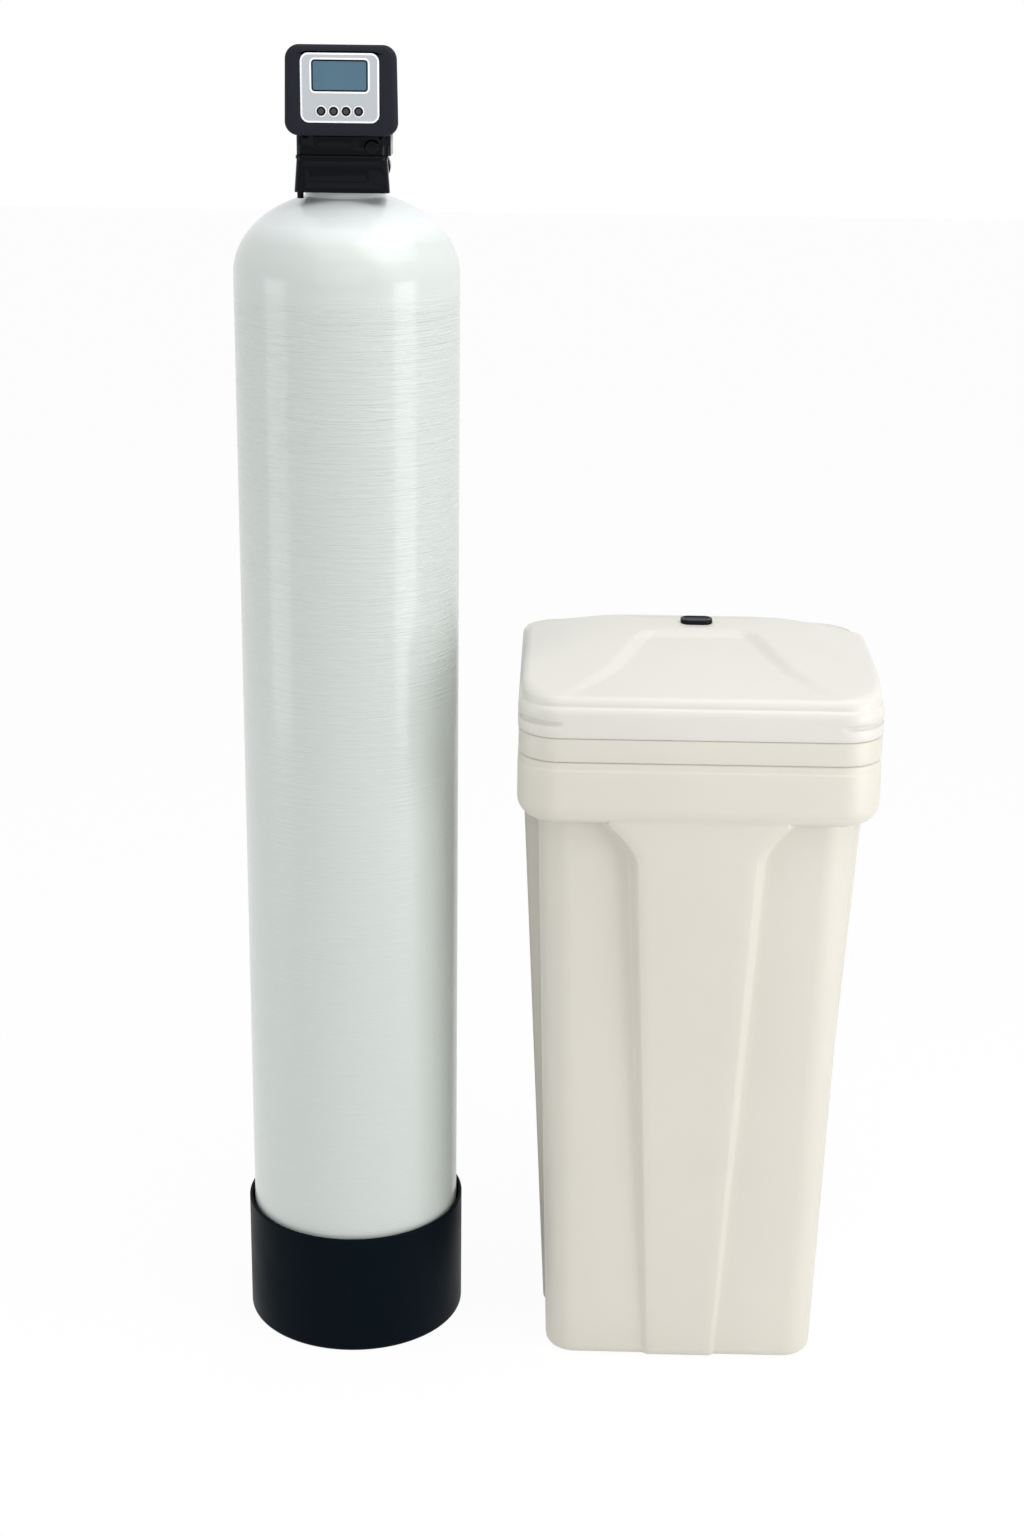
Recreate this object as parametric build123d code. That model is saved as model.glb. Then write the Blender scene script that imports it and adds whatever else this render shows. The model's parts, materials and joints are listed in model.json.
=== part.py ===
from build123d import *
import math
import os

# A household water softener: a mineral tank with a control valve, and a brine tank beside it.
# Millimetres. The origin is on the floor under the mineral tank's axis, +Z up, front towards -Y.

# Shared values
overrun = 2.0               # how far a cutting tool runs past the face that it cuts
seat_clearance = 0.3        # round pieces that sit loosely in each other
running_clearance = 0.06    # shafts and axles in their holes
edge_radius = 1.2           # small moulded edges

# Mineral tank
tank_radius = 128.5
tank_wall = 5.0
cylinder_top = 1316.0
top_dome_height = 92.0
bottom_dome_height = 62.0
tank_flat_radius = 34.0
neck_radius = 46.25
neck_rise = 7.2
neck_insert_wall = 5.2
neck_insert_length = 40.0
thread_radius = 35.8
neck_seal_thickness = 1.0

# Tank boot
boot_radius = 135.3
boot_height = 156.6
boot_floor = 5.0
boot_wall = 4.0
boot_edge_radius = 6.0
boot_rim_height = 9.0
boot_rim_clearance = 0.4

# Riser tube, distributors and resin
riser_radius = 13.35
riser_wall = 2.4
riser_overlap = 22.0
basket_radius = 27.0
basket_wall = 2.5
basket_height = 62.0
basket_slot_width = 1.2
basket_slot_count = 12
top_basket_radius = 30.0
top_basket_height = 34.0
resin_height = 880.0
resin_wall_gap = 0.3

# Valve base, the lower block that screws into the tank's neck
base_height = 39.5
base_top_width = 101.0
base_bottom_width = 107.0
base_top_depth = 114.0
base_bottom_depth = 118.0
base_corner_radius = 9.0
base_spigot_length = 25.0
base_lip_height = 3.6
base_lip_proud = 1.2
base_rib_height = 3.0
base_rib_proud = 1.6
base_rib_rise = 28.5
base_rib_width = 84.0
panel_recess_depth = 1.6
panel_recess_width = 64.0
panel_recess_height = 12.5
panel_recess_rise = 11.8
panel_recess_shift_reach = 4.0
panel_recess_shift = -panel_recess_shift_reach
side_recess_width = 14.5
side_recess_height = 18.0
side_recess_depth = 1.0
side_recess_shift = 42.0
lug_radius = 3.6
lug_length = 8.0
lug_shift_x_reach = 47.5
lug_shift_x = -lug_shift_x_reach
lug_shift_y_reach = 38.0
lug_shift_y = -lug_shift_y_reach
riser_sleeve_wall = 3.0
riser_sleeve_gap = 0.1
annulus_radius = 31.0
annulus_height = 17.0
centre_passage_radius = 8.0
side_passage_radius = 6.0
side_passage_shift_reach = 19.0
side_passage_shift = -side_passage_shift_reach

# Inlet and outlet ports
port_spacing = 54.0
port_rise = 20.0
port_thread_radius = 16.6
port_thread_length = 20.0
port_collar_radius = 19.0
port_collar_length = 8.0
port_bore_radius = 11.0
port_bore_length = 50.0
port_passage_radius = 7.0

# Valve body above the base
body_height = 23.1
body_width = 101.0
body_depth = 112.0
body_corner_radius = 8.0
chamber_floor_rise = 2.5
chamber_radius = 29.0
bulge_width = 22.0
bulge_proud = 3.3
bulge_shift_y_reach = 30.0
bulge_shift_y = -bulge_shift_y_reach
bulge_depth = 44.0
bulge_corner_radius = 5.0
frame_width = 41.0
frame_height = 14.4
frame_shift_reach = 7.2
frame_shift = -frame_shift_reach
frame_rise = 13.4
frame_rim = 1.8
frame_proud = 1.4
frame_depth = 3.0
small_port_radius = 10.5
small_port_length = 22.0
small_port_bore_radius = 6.5
drain_shift = 14.0
brine_port_shift_reach = 32.0
brine_port_shift = -brine_port_shift_reach
small_port_rise = 11.6
brine_thread_radius = 7.0
brine_thread_length = 11.0
brine_hex_radius = 9.5
brine_hex_height = 6.0
brine_bore_radius = 3.2

# Injector behind its cap
injector_shift = 34.0
injector_rise = 9.3
injector_bore_radius = 5.2
injector_bore_length = 30.0
injector_cap_radius = 7.6
injector_cap_length = 5.0
injector_socket_radius = 3.6
injector_socket_depth = 2.4
nozzle_radius = 4.9
nozzle_tip_radius = 2.6
nozzle_length = 20.0
nozzle_bore_radius = 1.1

# Discs, spindle and bonnet
disc_radius = 28.0
gasket_thickness = 2.0
fixed_disc_thickness = 6.0
moving_disc_thickness = 6.0
disc_hole_radius = 5.0
disc_face_gap = 0.05
spindle_radius = 8.0
spindle_tip_radius = 6.0
spindle_flange_radius = 15.0
spindle_flange_thickness = 4.0
thrust_gap = 0.1
bonnet_radius = 38.0
bonnet_thickness = 7.0
bonnet_screw_circle = 33.5
bonnet_screw_count = 4

# Screws
screw_head_radius = 3.0
screw_head_height = 2.2
screw_shank_radius = 1.5
screw_length = 10.0

# Head: front cover and rear housing
head_top_width = 121.0
head_bottom_width = 124.6
head_height = 95.4
head_corner_radius = 15.0
side_draft_share = 0.074      # how much a side draws in, per length towards the back
top_draft_share = 0.037
head_front_reach = 90.0
head_front = -head_front_reach
head_seam_reach = 52.0
head_seam = -head_seam_reach
head_back = 45.0
head_wall = 3.0
head_front_radius = 7.0
head_tongue = 4.0
head_tongue_wall = 1.5
head_tongue_gap = 0.2
bonnet_opening_gap = 1.5
head_screw_shift_x = 31.5
head_screw_front_reach = 42.0
head_screw_front = -head_screw_front_reach
head_screw_back = 36.0

# Face panel, display and buttons
panel_width = 85.0
panel_height = 72.6
panel_rise = 50.4
panel_shift = 2.0
head_shift = 3.0             # the cover and housing sit a little right of the valve's axis
panel_radius = 9.0
panel_thickness = 2.4
panel_seat_depth = 1.6
panel_gap = 0.4
panel_ledge = 3.0
window_width = 60.6
window_height = 32.8
window_rise = 63.2
window_radius = 3.6
window_thickness = 1.0
window_seat_depth = 1.2
window_ledge = 1.5
window_gap = 0.15
module_margin = 3.0
button_count = 4
button_pitch = 13.5
button_rise = 26.2
button_radius = 4.5
button_hole_radius = 4.8
button_proud = 0.8
button_flange_radius = 5.8
button_flange_thickness = 1.2
button_flange_gap = 0.2
button_stem_radius = 2.0
button_travel = 1.0
button_dish_radius = 3.2
button_dish_depth = 0.4
switch_width = 6.0
switch_height = 1.9
board_stand = 7.0
board_width = 104.0
board_height = 62.0
board_thickness = 1.6
boss_radius = 3.2
boss_hole_radius = 1.5
boss_shift_x = 48.0
boss_shift_z = 26.0

# Drive
gear_module = 1.25
gear_teeth = 48
pinion_teeth = 12
gear_rise = 9.4             # above the valve body's top
gear_width = 7.0
tooth_root_share = 0.50     # of the tooth pitch
tooth_tip_share = 0.22
tooth_backlash_share = 0.06
pinion_shaft_radius = 2.5
plate_rise = 19.4
plate_thickness = 2.5
plate_half_width = 46.5
plate_front_reach = 31.5
plate_front = -plate_front_reach
plate_back = 31.5
post_radius = 3.5
post_shift_x = 32.0
post_front_reach = 27.5
post_front = -post_front_reach
post_back = 27.5
motor_radius = 13.5
motor_height = 23.0
motor_ear_reach = 26.0
motor_ear_width = 8.0
motor_ear_thickness = 1.6
motor_screw_shift = 22.0
motor_screw_length = 5.0
socket_body_radius = 5.5
socket_flange_radius = 7.5
socket_flange_thickness = 1.8
socket_length = 15.0
socket_bore_radius = 2.8
socket_bore_length = 10.0
socket_shift_reach = 35.0
socket_shift = -socket_shift_reach
socket_rise = 28.0

# Flow meter in the outlet port
cage_length = 16.0
cage_wall = 1.0
cage_clearance = 0.05
cage_spoke_width = 1.6
cage_spoke_thickness = 1.5
cage_hub_radius = 2.6
axle_radius = 1.0
turbine_radius = 8.6
turbine_hub_radius = 2.6
turbine_length = 10.0
turbine_blades = 5
blade_thickness = 0.9
blade_angle = 28.0

# Brine tank
brine_x = 411.7
brine_y = 35.6
brine_wall = 4.5
corner_radius_base = 36.0
corner_radius_top = 40.0
body_top = 715.0
wedge_foot_half = 41.5
wedge_neck_half = 74.0
wedge_neck_z = 668.0
wedge_head_half = 108.0
brine_foot_radius = 12.0
flange_half = 209.35
flange_over_wedge = 6.35
flange_over_corner = 24.85
corner_taper = 19.5
wedge_taper = 34.0
wedge_top_half = flange_half - flange_over_wedge
wedge_base_half = wedge_top_half - wedge_taper
corner_top_half = flange_half - flange_over_corner
corner_base_half = corner_top_half - corner_taper
flange_radius = 50.0
flange_top = 792.6
flange_edge_radius = 23.0

# Rim collar, the separate band under the lid
collar_top = 820.9
collar_inset = 0.8
collar_lip_height = 11.0
collar_lip_wall = 3.0
collar_lip_gap = 0.5

# Lid
lid_skirt_top = 855.0
lid_wall = 3.5
roof_inset = 5.0
roof_edge_y = 210.0           # where the arch ends, past the skirt that trims it
roof_front_edge_z = 866.0
roof_front_mid_z = 890.5
roof_back_edge_z = 857.0
roof_back_mid_z = 884.5
roof_back_fall = 0.19         # how the side slopes sink towards the back, per length
roof_mid_y = 108.0
roof_crest_z = 906.0
crest_half = 85.0
roof_side_z = 888.0
roof_side_half = 196.0
roof_shoulder_drop = 12.0
recess_back = 33.0
recess_front = 190.0
recess_back_half = 58.0
recess_front_half = 150.0
recess_back_z = 895.8
recess_front_z = 870.0
recess_rear_z = 857.5
notch_depth = 2.6
notch_height = 6.0
notch_z = 834.5
notch_length = 48.0
grip_width = 38.0
grip_depth = 25.0
grip_radius = 10.0
grip_proud = 3.4
grip_seat_depth = 2.0

# Salt grid
grid_z = 120.0
grid_thickness = 6.0
grid_edge_gap = 2.0
grid_hole_radius = 7.0
grid_hole_pitch = 42.0
grid_hole_count = 7
grid_leg_radius = 20.0
grid_leg_wall = 2.5
grid_leg_shift = 112.0
grid_well_clearance = 1.5

# Brine well
well_shift_x_reach = 86.0
well_shift_x = -well_shift_x_reach
well_shift_y = 86.0
well_radius = 50.8
well_wall = 3.0
well_top = 742.0
well_slot_width = 6.0
well_slot_height = 50.0
cap_thickness = 3.0
cap_skirt_height = 14.0
cap_skirt_wall = 2.2
cap_lift_tab_radius = 12.0
cap_lift_tab_height = 5.0

# Safety float valve in the well
valve_arm_width = 24.0
valve_arm_height = 30.0
valve_arm_z = 650.0
spigot_radius = 7.0
spigot_reach = 5.0
pickup_shift_reach = 22.0
pickup_shift = -pickup_shift_reach
pickup_radius = 6.35
pickup_wall = 1.4
rod_shift = 18.0
rod_radius = 2.5
rod_guide_gap = 0.3
rod_collar_radius = 6.0
rod_collar_height = 5.0
rod_top_reach = 20.0
float_radius = 22.0
float_height = 52.0
float_z = 320.0
check_radius = 14.0
check_wall = 3.0
check_height = 60.0
check_floor = 4.0
check_stand = 6.0
check_hole_radius = 5.0
check_window_width = 8.0
check_window_height = 26.0
ball_radius = 8.0
ball_seat_gap = 0.05

# Overflow elbow and brine line grommet, both through the flange's rear face
fitting_z = 757.0
overflow_shift = 90.0
overflow_radius = 11.0
overflow_hole_gap = 0.3
overflow_bore_radius = 7.0
overflow_flange_radius = 17.0
overflow_flange_thickness = 3.0
overflow_reach = 20.0
overflow_drop = 16.0
hose_spigot_radius = 9.5
hose_spigot_length = 22.0
nut_radius = 16.0
nut_thickness = 6.0
grommet_shift_reach = 60.0
grommet_shift = -grommet_shift_reach
grommet_hole_radius = 8.0
grommet_bore_radius = 4.85
grommet_flange_radius = 11.0
grommet_flange_thickness = 1.8
grommet_nose_length = 9.0     # outside the wall, with the bore that grips the tube
grommet_nose_radius = 8.5
grommet_relief_radius = 5.8   # wider behind the nose, so that the tube enters easily
grommet_relief_over_wall = 1.0

# Heights that follow from the sizes above
tank_floor = boot_floor
bottom_centre = tank_floor + bottom_dome_height * math.sqrt(1 - (tank_flat_radius / tank_radius) ** 2)
neck_base = cylinder_top + top_dome_height * math.sqrt(1 - (neck_radius / tank_radius) ** 2)
neck_top = neck_base + neck_rise
base_z = neck_top + neck_seal_thickness
body_z = base_z + base_height
head_z = body_z + body_height
chamber_floor = body_z + chamber_floor_rise
gasket_top = chamber_floor + gasket_thickness
fixed_disc_top = gasket_top + fixed_disc_thickness
moving_disc_z = fixed_disc_top + disc_face_gap
moving_disc_top = moving_disc_z + moving_disc_thickness
spindle_flange_top = moving_disc_top + spindle_flange_thickness
gear_z = head_z + gear_rise
plate_z = head_z + plate_rise
riser_top = base_z + annulus_height
pinion_distance = gear_module * (gear_teeth + pinion_teeth) / 2
insert_bore = thread_radius + seat_clearance
panel_back = head_front + panel_seat_depth
panel_front = panel_back - panel_thickness
board_front = head_front + head_wall + board_stand
well_x = brine_x + well_shift_x
well_y = brine_y + well_shift_y

LOW = (Align.CENTER, Align.CENTER, Align.MIN)
UP = Rot(-90, 0, 0)         # turns a shape that stands on +Z so that it points to +Y


def disc(radius, height, z):
    """A round plate or post on the Z axis that starts at z."""
    return Pos(0, 0, z) * Cylinder(radius, height, align=LOW)


def ring(outer, inner, height, z):
    """A flat ring or tube on the Z axis that starts at z."""
    return disc(outer, height, z) - disc(inner, height + 2 * overrun, z - overrun)


def rod_y(radius, start, end, x, z):
    """A round bar along Y, from start to end."""
    return Pos(x, start, z) * UP * Cylinder(radius, end - start, align=LOW)


def block(width, depth, radius, height, z):
    """An upright block with rounded corners that starts at z."""
    return Pos(0, 0, z) * extrude(RectangleRounded(width, depth, radius), height)


def drafted_face(width, depth, radius):
    """A plan view with rounded corners whose sides draw in towards the back."""
    half = width / 2
    back_half = half - side_draft_share * depth
    points = [(-half, -depth / 2), (half, -depth / 2), (back_half, depth / 2), (-back_half, depth / 2)]
    face = make_face(Polyline(*points, close=True))
    return fillet(face.vertices(), radius)


def drafted_block(width, depth, radius, height, z):
    return Pos(0, 0, z) * extrude(drafted_face(width, depth, radius), height)


def plate_y(width, height, radius, start, end, x, z):
    """A plate that faces the front, with rounded corners, from start to end along Y."""
    face = Pos(x, start, z) * UP * RectangleRounded(width, height, radius)
    return extrude(face, end - start, dir=(0, 1, 0))


def outline(lines):
    """The flat face inside a closed row of lines and arcs."""
    edges = []
    for line in lines:
        edges.extend(line.edges())
    return make_face(edges)


def turned(profile):
    """The solid that a closed outline of (radius, z) points makes about the Z axis."""
    return revolve(Plane.XZ * make_face(Polyline(*profile, close=True)), axis=Axis.Z)


def tapered(half_low, radius_low, z_low, half_high, radius_high, z_high):
    """A square column with rounded corners whose half width changes with height."""
    low = Pos(0, 0, z_low) * RectangleRounded(2 * half_low, 2 * half_low, radius_low)
    high = Pos(0, 0, z_high) * RectangleRounded(2 * half_high, 2 * half_high, radius_high)
    return loft([low, high])


def screw(length):
    """A pan-head screw that points down, with the underside of its head at the origin."""
    return disc(screw_head_radius, screw_head_height, 0) + disc(screw_shank_radius, length, -length)


def at_brine(shape):
    """Moves a piece made about the Z axis to the brine tank's place."""
    return Pos(brine_x, brine_y, 0) * shape


def at_well(shape):
    """Moves a piece made about the Z axis to the brine well's place."""
    return Pos(well_x, well_y, 0) * shape


# Mineral tank and boot
def vessel(inset, neck, top):
    """The vessel's outer form, or the space inside it when inset is the wall."""
    a = tank_radius - inset
    low_b = bottom_dome_height - inset
    high_b = top_dome_height - inset
    flat_angle = math.degrees(math.acos(tank_flat_radius / a))
    neck_angle = math.degrees(math.acos(neck / a))
    flat_z = bottom_centre - low_b * math.sin(math.radians(flat_angle))
    high_z = cylinder_top + high_b * math.sin(math.radians(neck_angle))
    lines = [
        Line((0, flat_z), (tank_flat_radius, flat_z)),
        EllipticalCenterArc((0, bottom_centre), a, low_b, start_angle=-flat_angle, arc_size=flat_angle),
        Line((a, bottom_centre), (a, cylinder_top)),
        EllipticalCenterArc((0, cylinder_top), a, high_b, start_angle=0, arc_size=neck_angle),
        Line((neck, high_z), (neck, top)),
        Line((neck, top), (0, top)),
        Line((0, top), (0, flat_z)),
    ]
    return revolve(Plane.XZ * outline(lines), axis=Axis.Z)


def vessel_floor():
    """The height of the vessel's flat inner floor."""
    a = tank_radius - tank_wall
    return bottom_centre - (bottom_dome_height - tank_wall) * math.sqrt(1 - (tank_flat_radius / a) ** 2)


def pressure_tank():
    insert_radius = insert_bore + neck_insert_wall
    outer = vessel(0, neck_radius, neck_top)
    inner = vessel(tank_wall, insert_radius, neck_top + overrun)
    return outer - inner


def neck_insert():
    foot = neck_top - neck_insert_length
    return ring(insert_bore + neck_insert_wall, insert_bore, neck_insert_length, foot)


def neck_o_ring():
    return ring(insert_bore + neck_insert_wall, insert_bore, neck_seal_thickness, neck_top)


def tank_boot():
    rim_bore = tank_radius + boot_rim_clearance
    wall_bore = boot_radius - boot_wall
    outer = disc(boot_radius, boot_height, 0)
    outer = fillet(outer.edges().group_by(Axis.Z)[0], boot_edge_radius)
    hollow = disc(rim_bore, boot_height, boot_floor)
    pocket_top = boot_height - boot_rim_height
    slope = wall_bore - rim_bore
    pocket = turned([(0, boot_floor), (wall_bore, boot_floor), (wall_bore, pocket_top - slope),
                     (rim_bore, pocket_top), (0, pocket_top)])
    boot = outer - hollow - pocket
    rim = boot.edges().group_by(Axis.Z)[-1]
    return fillet(rim, edge_radius)


def riser_tube():
    foot = vessel_floor() + basket_height - riser_overlap
    return ring(riser_radius, riser_radius - riser_wall, riser_top - foot, foot)


def slots(radius, width, height, z, count):
    """Upright slots through the wall of a basket, evenly spaced."""
    cuts = []
    for k in range(count):
        turn = Rot(0, 0, 360 * k / count)
        cut = Pos(radius, 0, z) * Box(radius, width, height, align=LOW)
        cuts.append(turn * cut)
    return cuts


def bottom_distributor():
    z = vessel_floor()
    basket = disc(basket_radius, basket_height, z)
    socket = riser_radius + seat_clearance
    room = basket_height - riser_overlap - basket_wall
    basket -= disc(basket_radius - basket_wall, room - basket_wall, z + basket_wall)
    basket -= disc(socket, riser_overlap + overrun, z + basket_height - riser_overlap)
    basket -= disc(riser_radius - riser_wall, basket_height, z + room / 2)
    slot_height = room - 3 * basket_wall
    for cut in slots(basket_radius, basket_slot_width, slot_height, z + 2 * basket_wall, basket_slot_count):
        basket -= cut
    return basket


def top_distributor():
    top = base_z - base_spigot_length
    z = top - top_basket_height
    basket = ring(top_basket_radius, riser_radius + seat_clearance, top_basket_height, z)
    room = top_basket_height - basket_wall
    basket -= ring(top_basket_radius - basket_wall, riser_radius + 2 * basket_wall, room, z + basket_wall)
    slot_height = room - 2 * basket_wall
    slot_foot = z + 2 * basket_wall
    for cut in slots(top_basket_radius, basket_slot_width, slot_height, slot_foot, basket_slot_count):
        basket -= cut
    return basket


def resin_bed():
    z = vessel_floor()
    bed = vessel(tank_wall + resin_wall_gap, neck_radius, neck_top)
    reach = 2 * tank_radius + overrun
    bed &= Pos(0, 0, z) * Box(reach, reach, resin_height, align=LOW)
    bed -= disc(basket_radius + resin_wall_gap, basket_height + resin_wall_gap, z)
    bed -= disc(riser_radius + resin_wall_gap, resin_height + overrun, z)
    return bed


# Control valve
def port_places():
    """The x of the inlet and of the outlet."""
    return (-port_spacing / 2, port_spacing / 2)


def valve_base():
    low = Pos(0, 0, base_z) * drafted_face(base_bottom_width, base_bottom_depth, base_corner_radius)
    high = Pos(0, 0, body_z) * drafted_face(base_top_width, base_top_depth, base_corner_radius)
    base = loft([low, high])
    lip_z = body_z - base_lip_height
    base += drafted_block(base_top_width + 2 * base_lip_proud, base_top_depth + 2 * base_lip_proud,
                          base_corner_radius, base_lip_height, lip_z)
    front = -base_top_depth / 2
    rib_z = base_z + base_rib_rise
    base += plate_y(base_rib_width, base_rib_height, base_rib_height / 3, front - base_rib_proud,
                    front + base_rib_proud, 0, rib_z)
    base_front = -base_bottom_depth / 2
    recess_z = base_z + panel_recess_rise + panel_recess_height / 2
    base -= plate_y(panel_recess_width, panel_recess_height, edge_radius, base_front - overrun,
                    front + panel_recess_depth, panel_recess_shift, recess_z)
    side_z = base_z + panel_recess_rise + panel_recess_height / 2
    base -= plate_y(side_recess_width, side_recess_height, edge_radius, base_front - overrun,
                    front + side_recess_depth, side_recess_shift, side_z)
    lug = Cylinder(lug_radius, 2 * lug_length, align=LOW)
    base += Pos(lug_shift_x, lug_shift_y, base_z - lug_length) * lug
    base += disc(thread_radius, base_spigot_length, base_z - base_spigot_length)
    sleeve = riser_radius + riser_sleeve_wall
    cavity = base_spigot_length + annulus_height
    base -= ring(annulus_radius, sleeve, cavity, base_z - base_spigot_length)
    base -= disc(riser_radius + riser_sleeve_gap, cavity + overrun, base_z - base_spigot_length - overrun)
    base -= ring(riser_radius + riser_sleeve_wall / 2, riser_radius, riser_sleeve_wall,
                 base_z - base_spigot_length / 2)
    base -= disc(centre_passage_radius, base_height + overrun, base_z)
    base -= Pos(side_passage_shift, 0, 0) * disc(side_passage_radius, base_height + overrun, base_z)
    back = base_bottom_depth / 2
    port_z = base_z + port_rise
    for x in port_places():
        collar_end = back + port_collar_length
        thread_end = collar_end + port_thread_length
        base += rod_y(port_collar_radius, back - port_collar_length, collar_end, x, port_z)
        base += rod_y(port_thread_radius, back, thread_end, x, port_z)
        base -= rod_y(port_bore_radius, thread_end - port_bore_length, thread_end + overrun, x, port_z)
        well = Pos(x, back - port_bore_radius - port_collar_length, 0)
        base -= well * disc(port_passage_radius, base_height, port_z)
    return base


def riser_o_ring():
    return ring(riser_radius + riser_sleeve_wall / 2, riser_radius, riser_sleeve_wall,
                base_z - base_spigot_length / 2)


def valve_body():
    body = drafted_block(body_width, body_depth, body_corner_radius, body_height, body_z)
    side = body_width / 2
    bulge = block(bulge_width, bulge_depth, bulge_corner_radius, body_height, body_z)
    body += Pos(side + bulge_proud - bulge_width / 2, bulge_shift_y, 0) * bulge
    body -= disc(chamber_radius, body_height, chamber_floor)
    body -= disc(centre_passage_radius, body_height, body_z - overrun)
    side_passage = disc(side_passage_radius, body_height, body_z - overrun)
    body -= Pos(side_passage_shift, 0, 0) * side_passage
    front = -body_depth / 2
    frame_z = body_z + frame_rise
    body += plate_y(frame_width, frame_height, edge_radius, front - frame_proud, front + frame_proud,
                    frame_shift, frame_z)
    body -= plate_y(frame_width - 2 * frame_rim, frame_height - 2 * frame_rim, edge_radius,
                    front - frame_proud - overrun, front + frame_depth, frame_shift, frame_z)
    injector_z = body_z + injector_rise
    injector_end = front + injector_bore_length
    body -= rod_y(injector_bore_radius, front - overrun, injector_end, injector_shift, injector_z)
    back = body_depth / 2
    small_z = body_z + small_port_rise
    body += rod_y(small_port_radius, back - overrun, back + small_port_length, drain_shift, small_z)
    body -= rod_y(small_port_bore_radius, back - small_port_length / 2, back + small_port_length + overrun,
                  drain_shift, small_z)
    body -= rod_y(brine_thread_radius, back - brine_thread_length, back + overrun, brine_port_shift, small_z)
    for place in bonnet_screw_places():
        body -= place * disc(screw_shank_radius, screw_length, head_z - screw_length + bonnet_thickness)
    for place in head_screw_places():
        body -= place * disc(screw_shank_radius, screw_length, head_z - screw_length + head_wall)
    return body


def injector_cap():
    front = -body_depth / 2
    z = body_z + injector_rise
    cap = rod_y(injector_cap_radius, front - injector_cap_length, front, injector_shift, z)
    cap = fillet(cap.edges().group_by(Axis.Y)[0], edge_radius)
    plug_end = front + injector_bore_length - nozzle_length
    cap += rod_y(injector_bore_radius, front, plug_end, injector_shift, z)
    face = front - injector_cap_length
    socket_end = face + injector_socket_depth
    cap -= rod_y(injector_socket_radius, face - overrun, socket_end, injector_shift, z)
    return cap


def injector_nozzle():
    end = -body_depth / 2 + injector_bore_length
    z = body_z + injector_rise
    nozzle = Cone(nozzle_radius, nozzle_tip_radius, nozzle_length / 2, align=LOW)
    nozzle = Pos(injector_shift, end - nozzle_length / 2, z) * UP * nozzle
    nozzle += rod_y(nozzle_radius, end - nozzle_length, end - nozzle_length / 2, injector_shift, z)
    start = end - nozzle_length
    nozzle -= rod_y(nozzle_bore_radius, start - overrun, end + overrun, injector_shift, z)
    return nozzle


def brine_connector():
    back = body_depth / 2
    z = body_z + small_port_rise
    hexagon = Pos(brine_port_shift, back, z) * UP * RegularPolygon(brine_hex_radius, 6)
    fitting = extrude(hexagon, brine_hex_height, dir=(0, 1, 0))
    start = back - brine_thread_length
    end = back + brine_hex_height + brine_thread_length
    fitting += rod_y(brine_thread_radius, start, end, brine_port_shift, z)
    fitting -= rod_y(brine_bore_radius, start - overrun, end + overrun, brine_port_shift, z)
    return fitting


def disc_gasket():
    gasket = disc(disc_radius, gasket_thickness, chamber_floor)
    gasket -= disc(centre_passage_radius, body_height, chamber_floor - overrun)
    side_passage = disc(side_passage_radius, body_height, chamber_floor - overrun)
    return gasket - Pos(side_passage_shift, 0, 0) * side_passage


def fixed_disc():
    plate = disc(disc_radius, fixed_disc_thickness, gasket_top)
    plate -= disc(disc_hole_radius, body_height, gasket_top - overrun)
    for angle in (60, 120, 180, 240, 300):
        hole = Rot(0, 0, angle) * Pos(-side_passage_shift, 0, 0)
        plate -= hole * disc(disc_hole_radius, body_height, gasket_top - overrun)
    return plate


def moving_disc():
    plate = disc(disc_radius, moving_disc_thickness, moving_disc_z)
    pocket = moving_disc_thickness / 2
    reach = Pos(-side_passage_shift / 2, 0, moving_disc_z - overrun)
    plate -= reach * Box(-side_passage_shift, 2 * disc_hole_radius, pocket + overrun, align=LOW)
    through = Rot(0, 0, 180) * Pos(-side_passage_shift, 0, 0)
    return plate - through * disc(disc_hole_radius, body_height, moving_disc_z - overrun)


def drive_spindle():
    spindle = disc(spindle_flange_radius, spindle_flange_thickness, moving_disc_top)
    spindle += disc(spindle_radius, gear_z - spindle_flange_top, spindle_flange_top)
    return spindle + disc(spindle_tip_radius, gear_width + seat_clearance, gear_z)


def thrust_washer():
    room = head_z - spindle_flange_top - thrust_gap
    return ring(spindle_flange_radius, spindle_radius + seat_clearance, room, spindle_flange_top + thrust_gap)


def bonnet_screw_places():
    places = []
    for k in range(bonnet_screw_count):
        angle = 360 * (k + 0.5) / bonnet_screw_count
        places.append(Rot(0, 0, angle) * Pos(bonnet_screw_circle, 0, 0))
    return places


def bonnet():
    plate = disc(bonnet_radius, bonnet_thickness, head_z)
    plate -= disc(spindle_radius + running_clearance, body_height, head_z - overrun)
    for place in bonnet_screw_places():
        plate -= place * disc(screw_shank_radius, body_height, head_z - overrun)
    return plate


def bonnet_screws():
    z = head_z + bonnet_thickness
    return Part(children=[place * Pos(0, 0, z) * screw(screw_length) for place in bonnet_screw_places()])


# Flow meter
def meter_start():
    return base_bottom_depth / 2 + port_collar_length + port_thread_length - cage_length - overrun


def along_outlet(shape):
    """Moves a piece made on the Z axis into the outlet port, with its foot at the meter's start."""
    return Pos(port_spacing / 2, meter_start(), base_z + port_rise) * UP * shape


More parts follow.
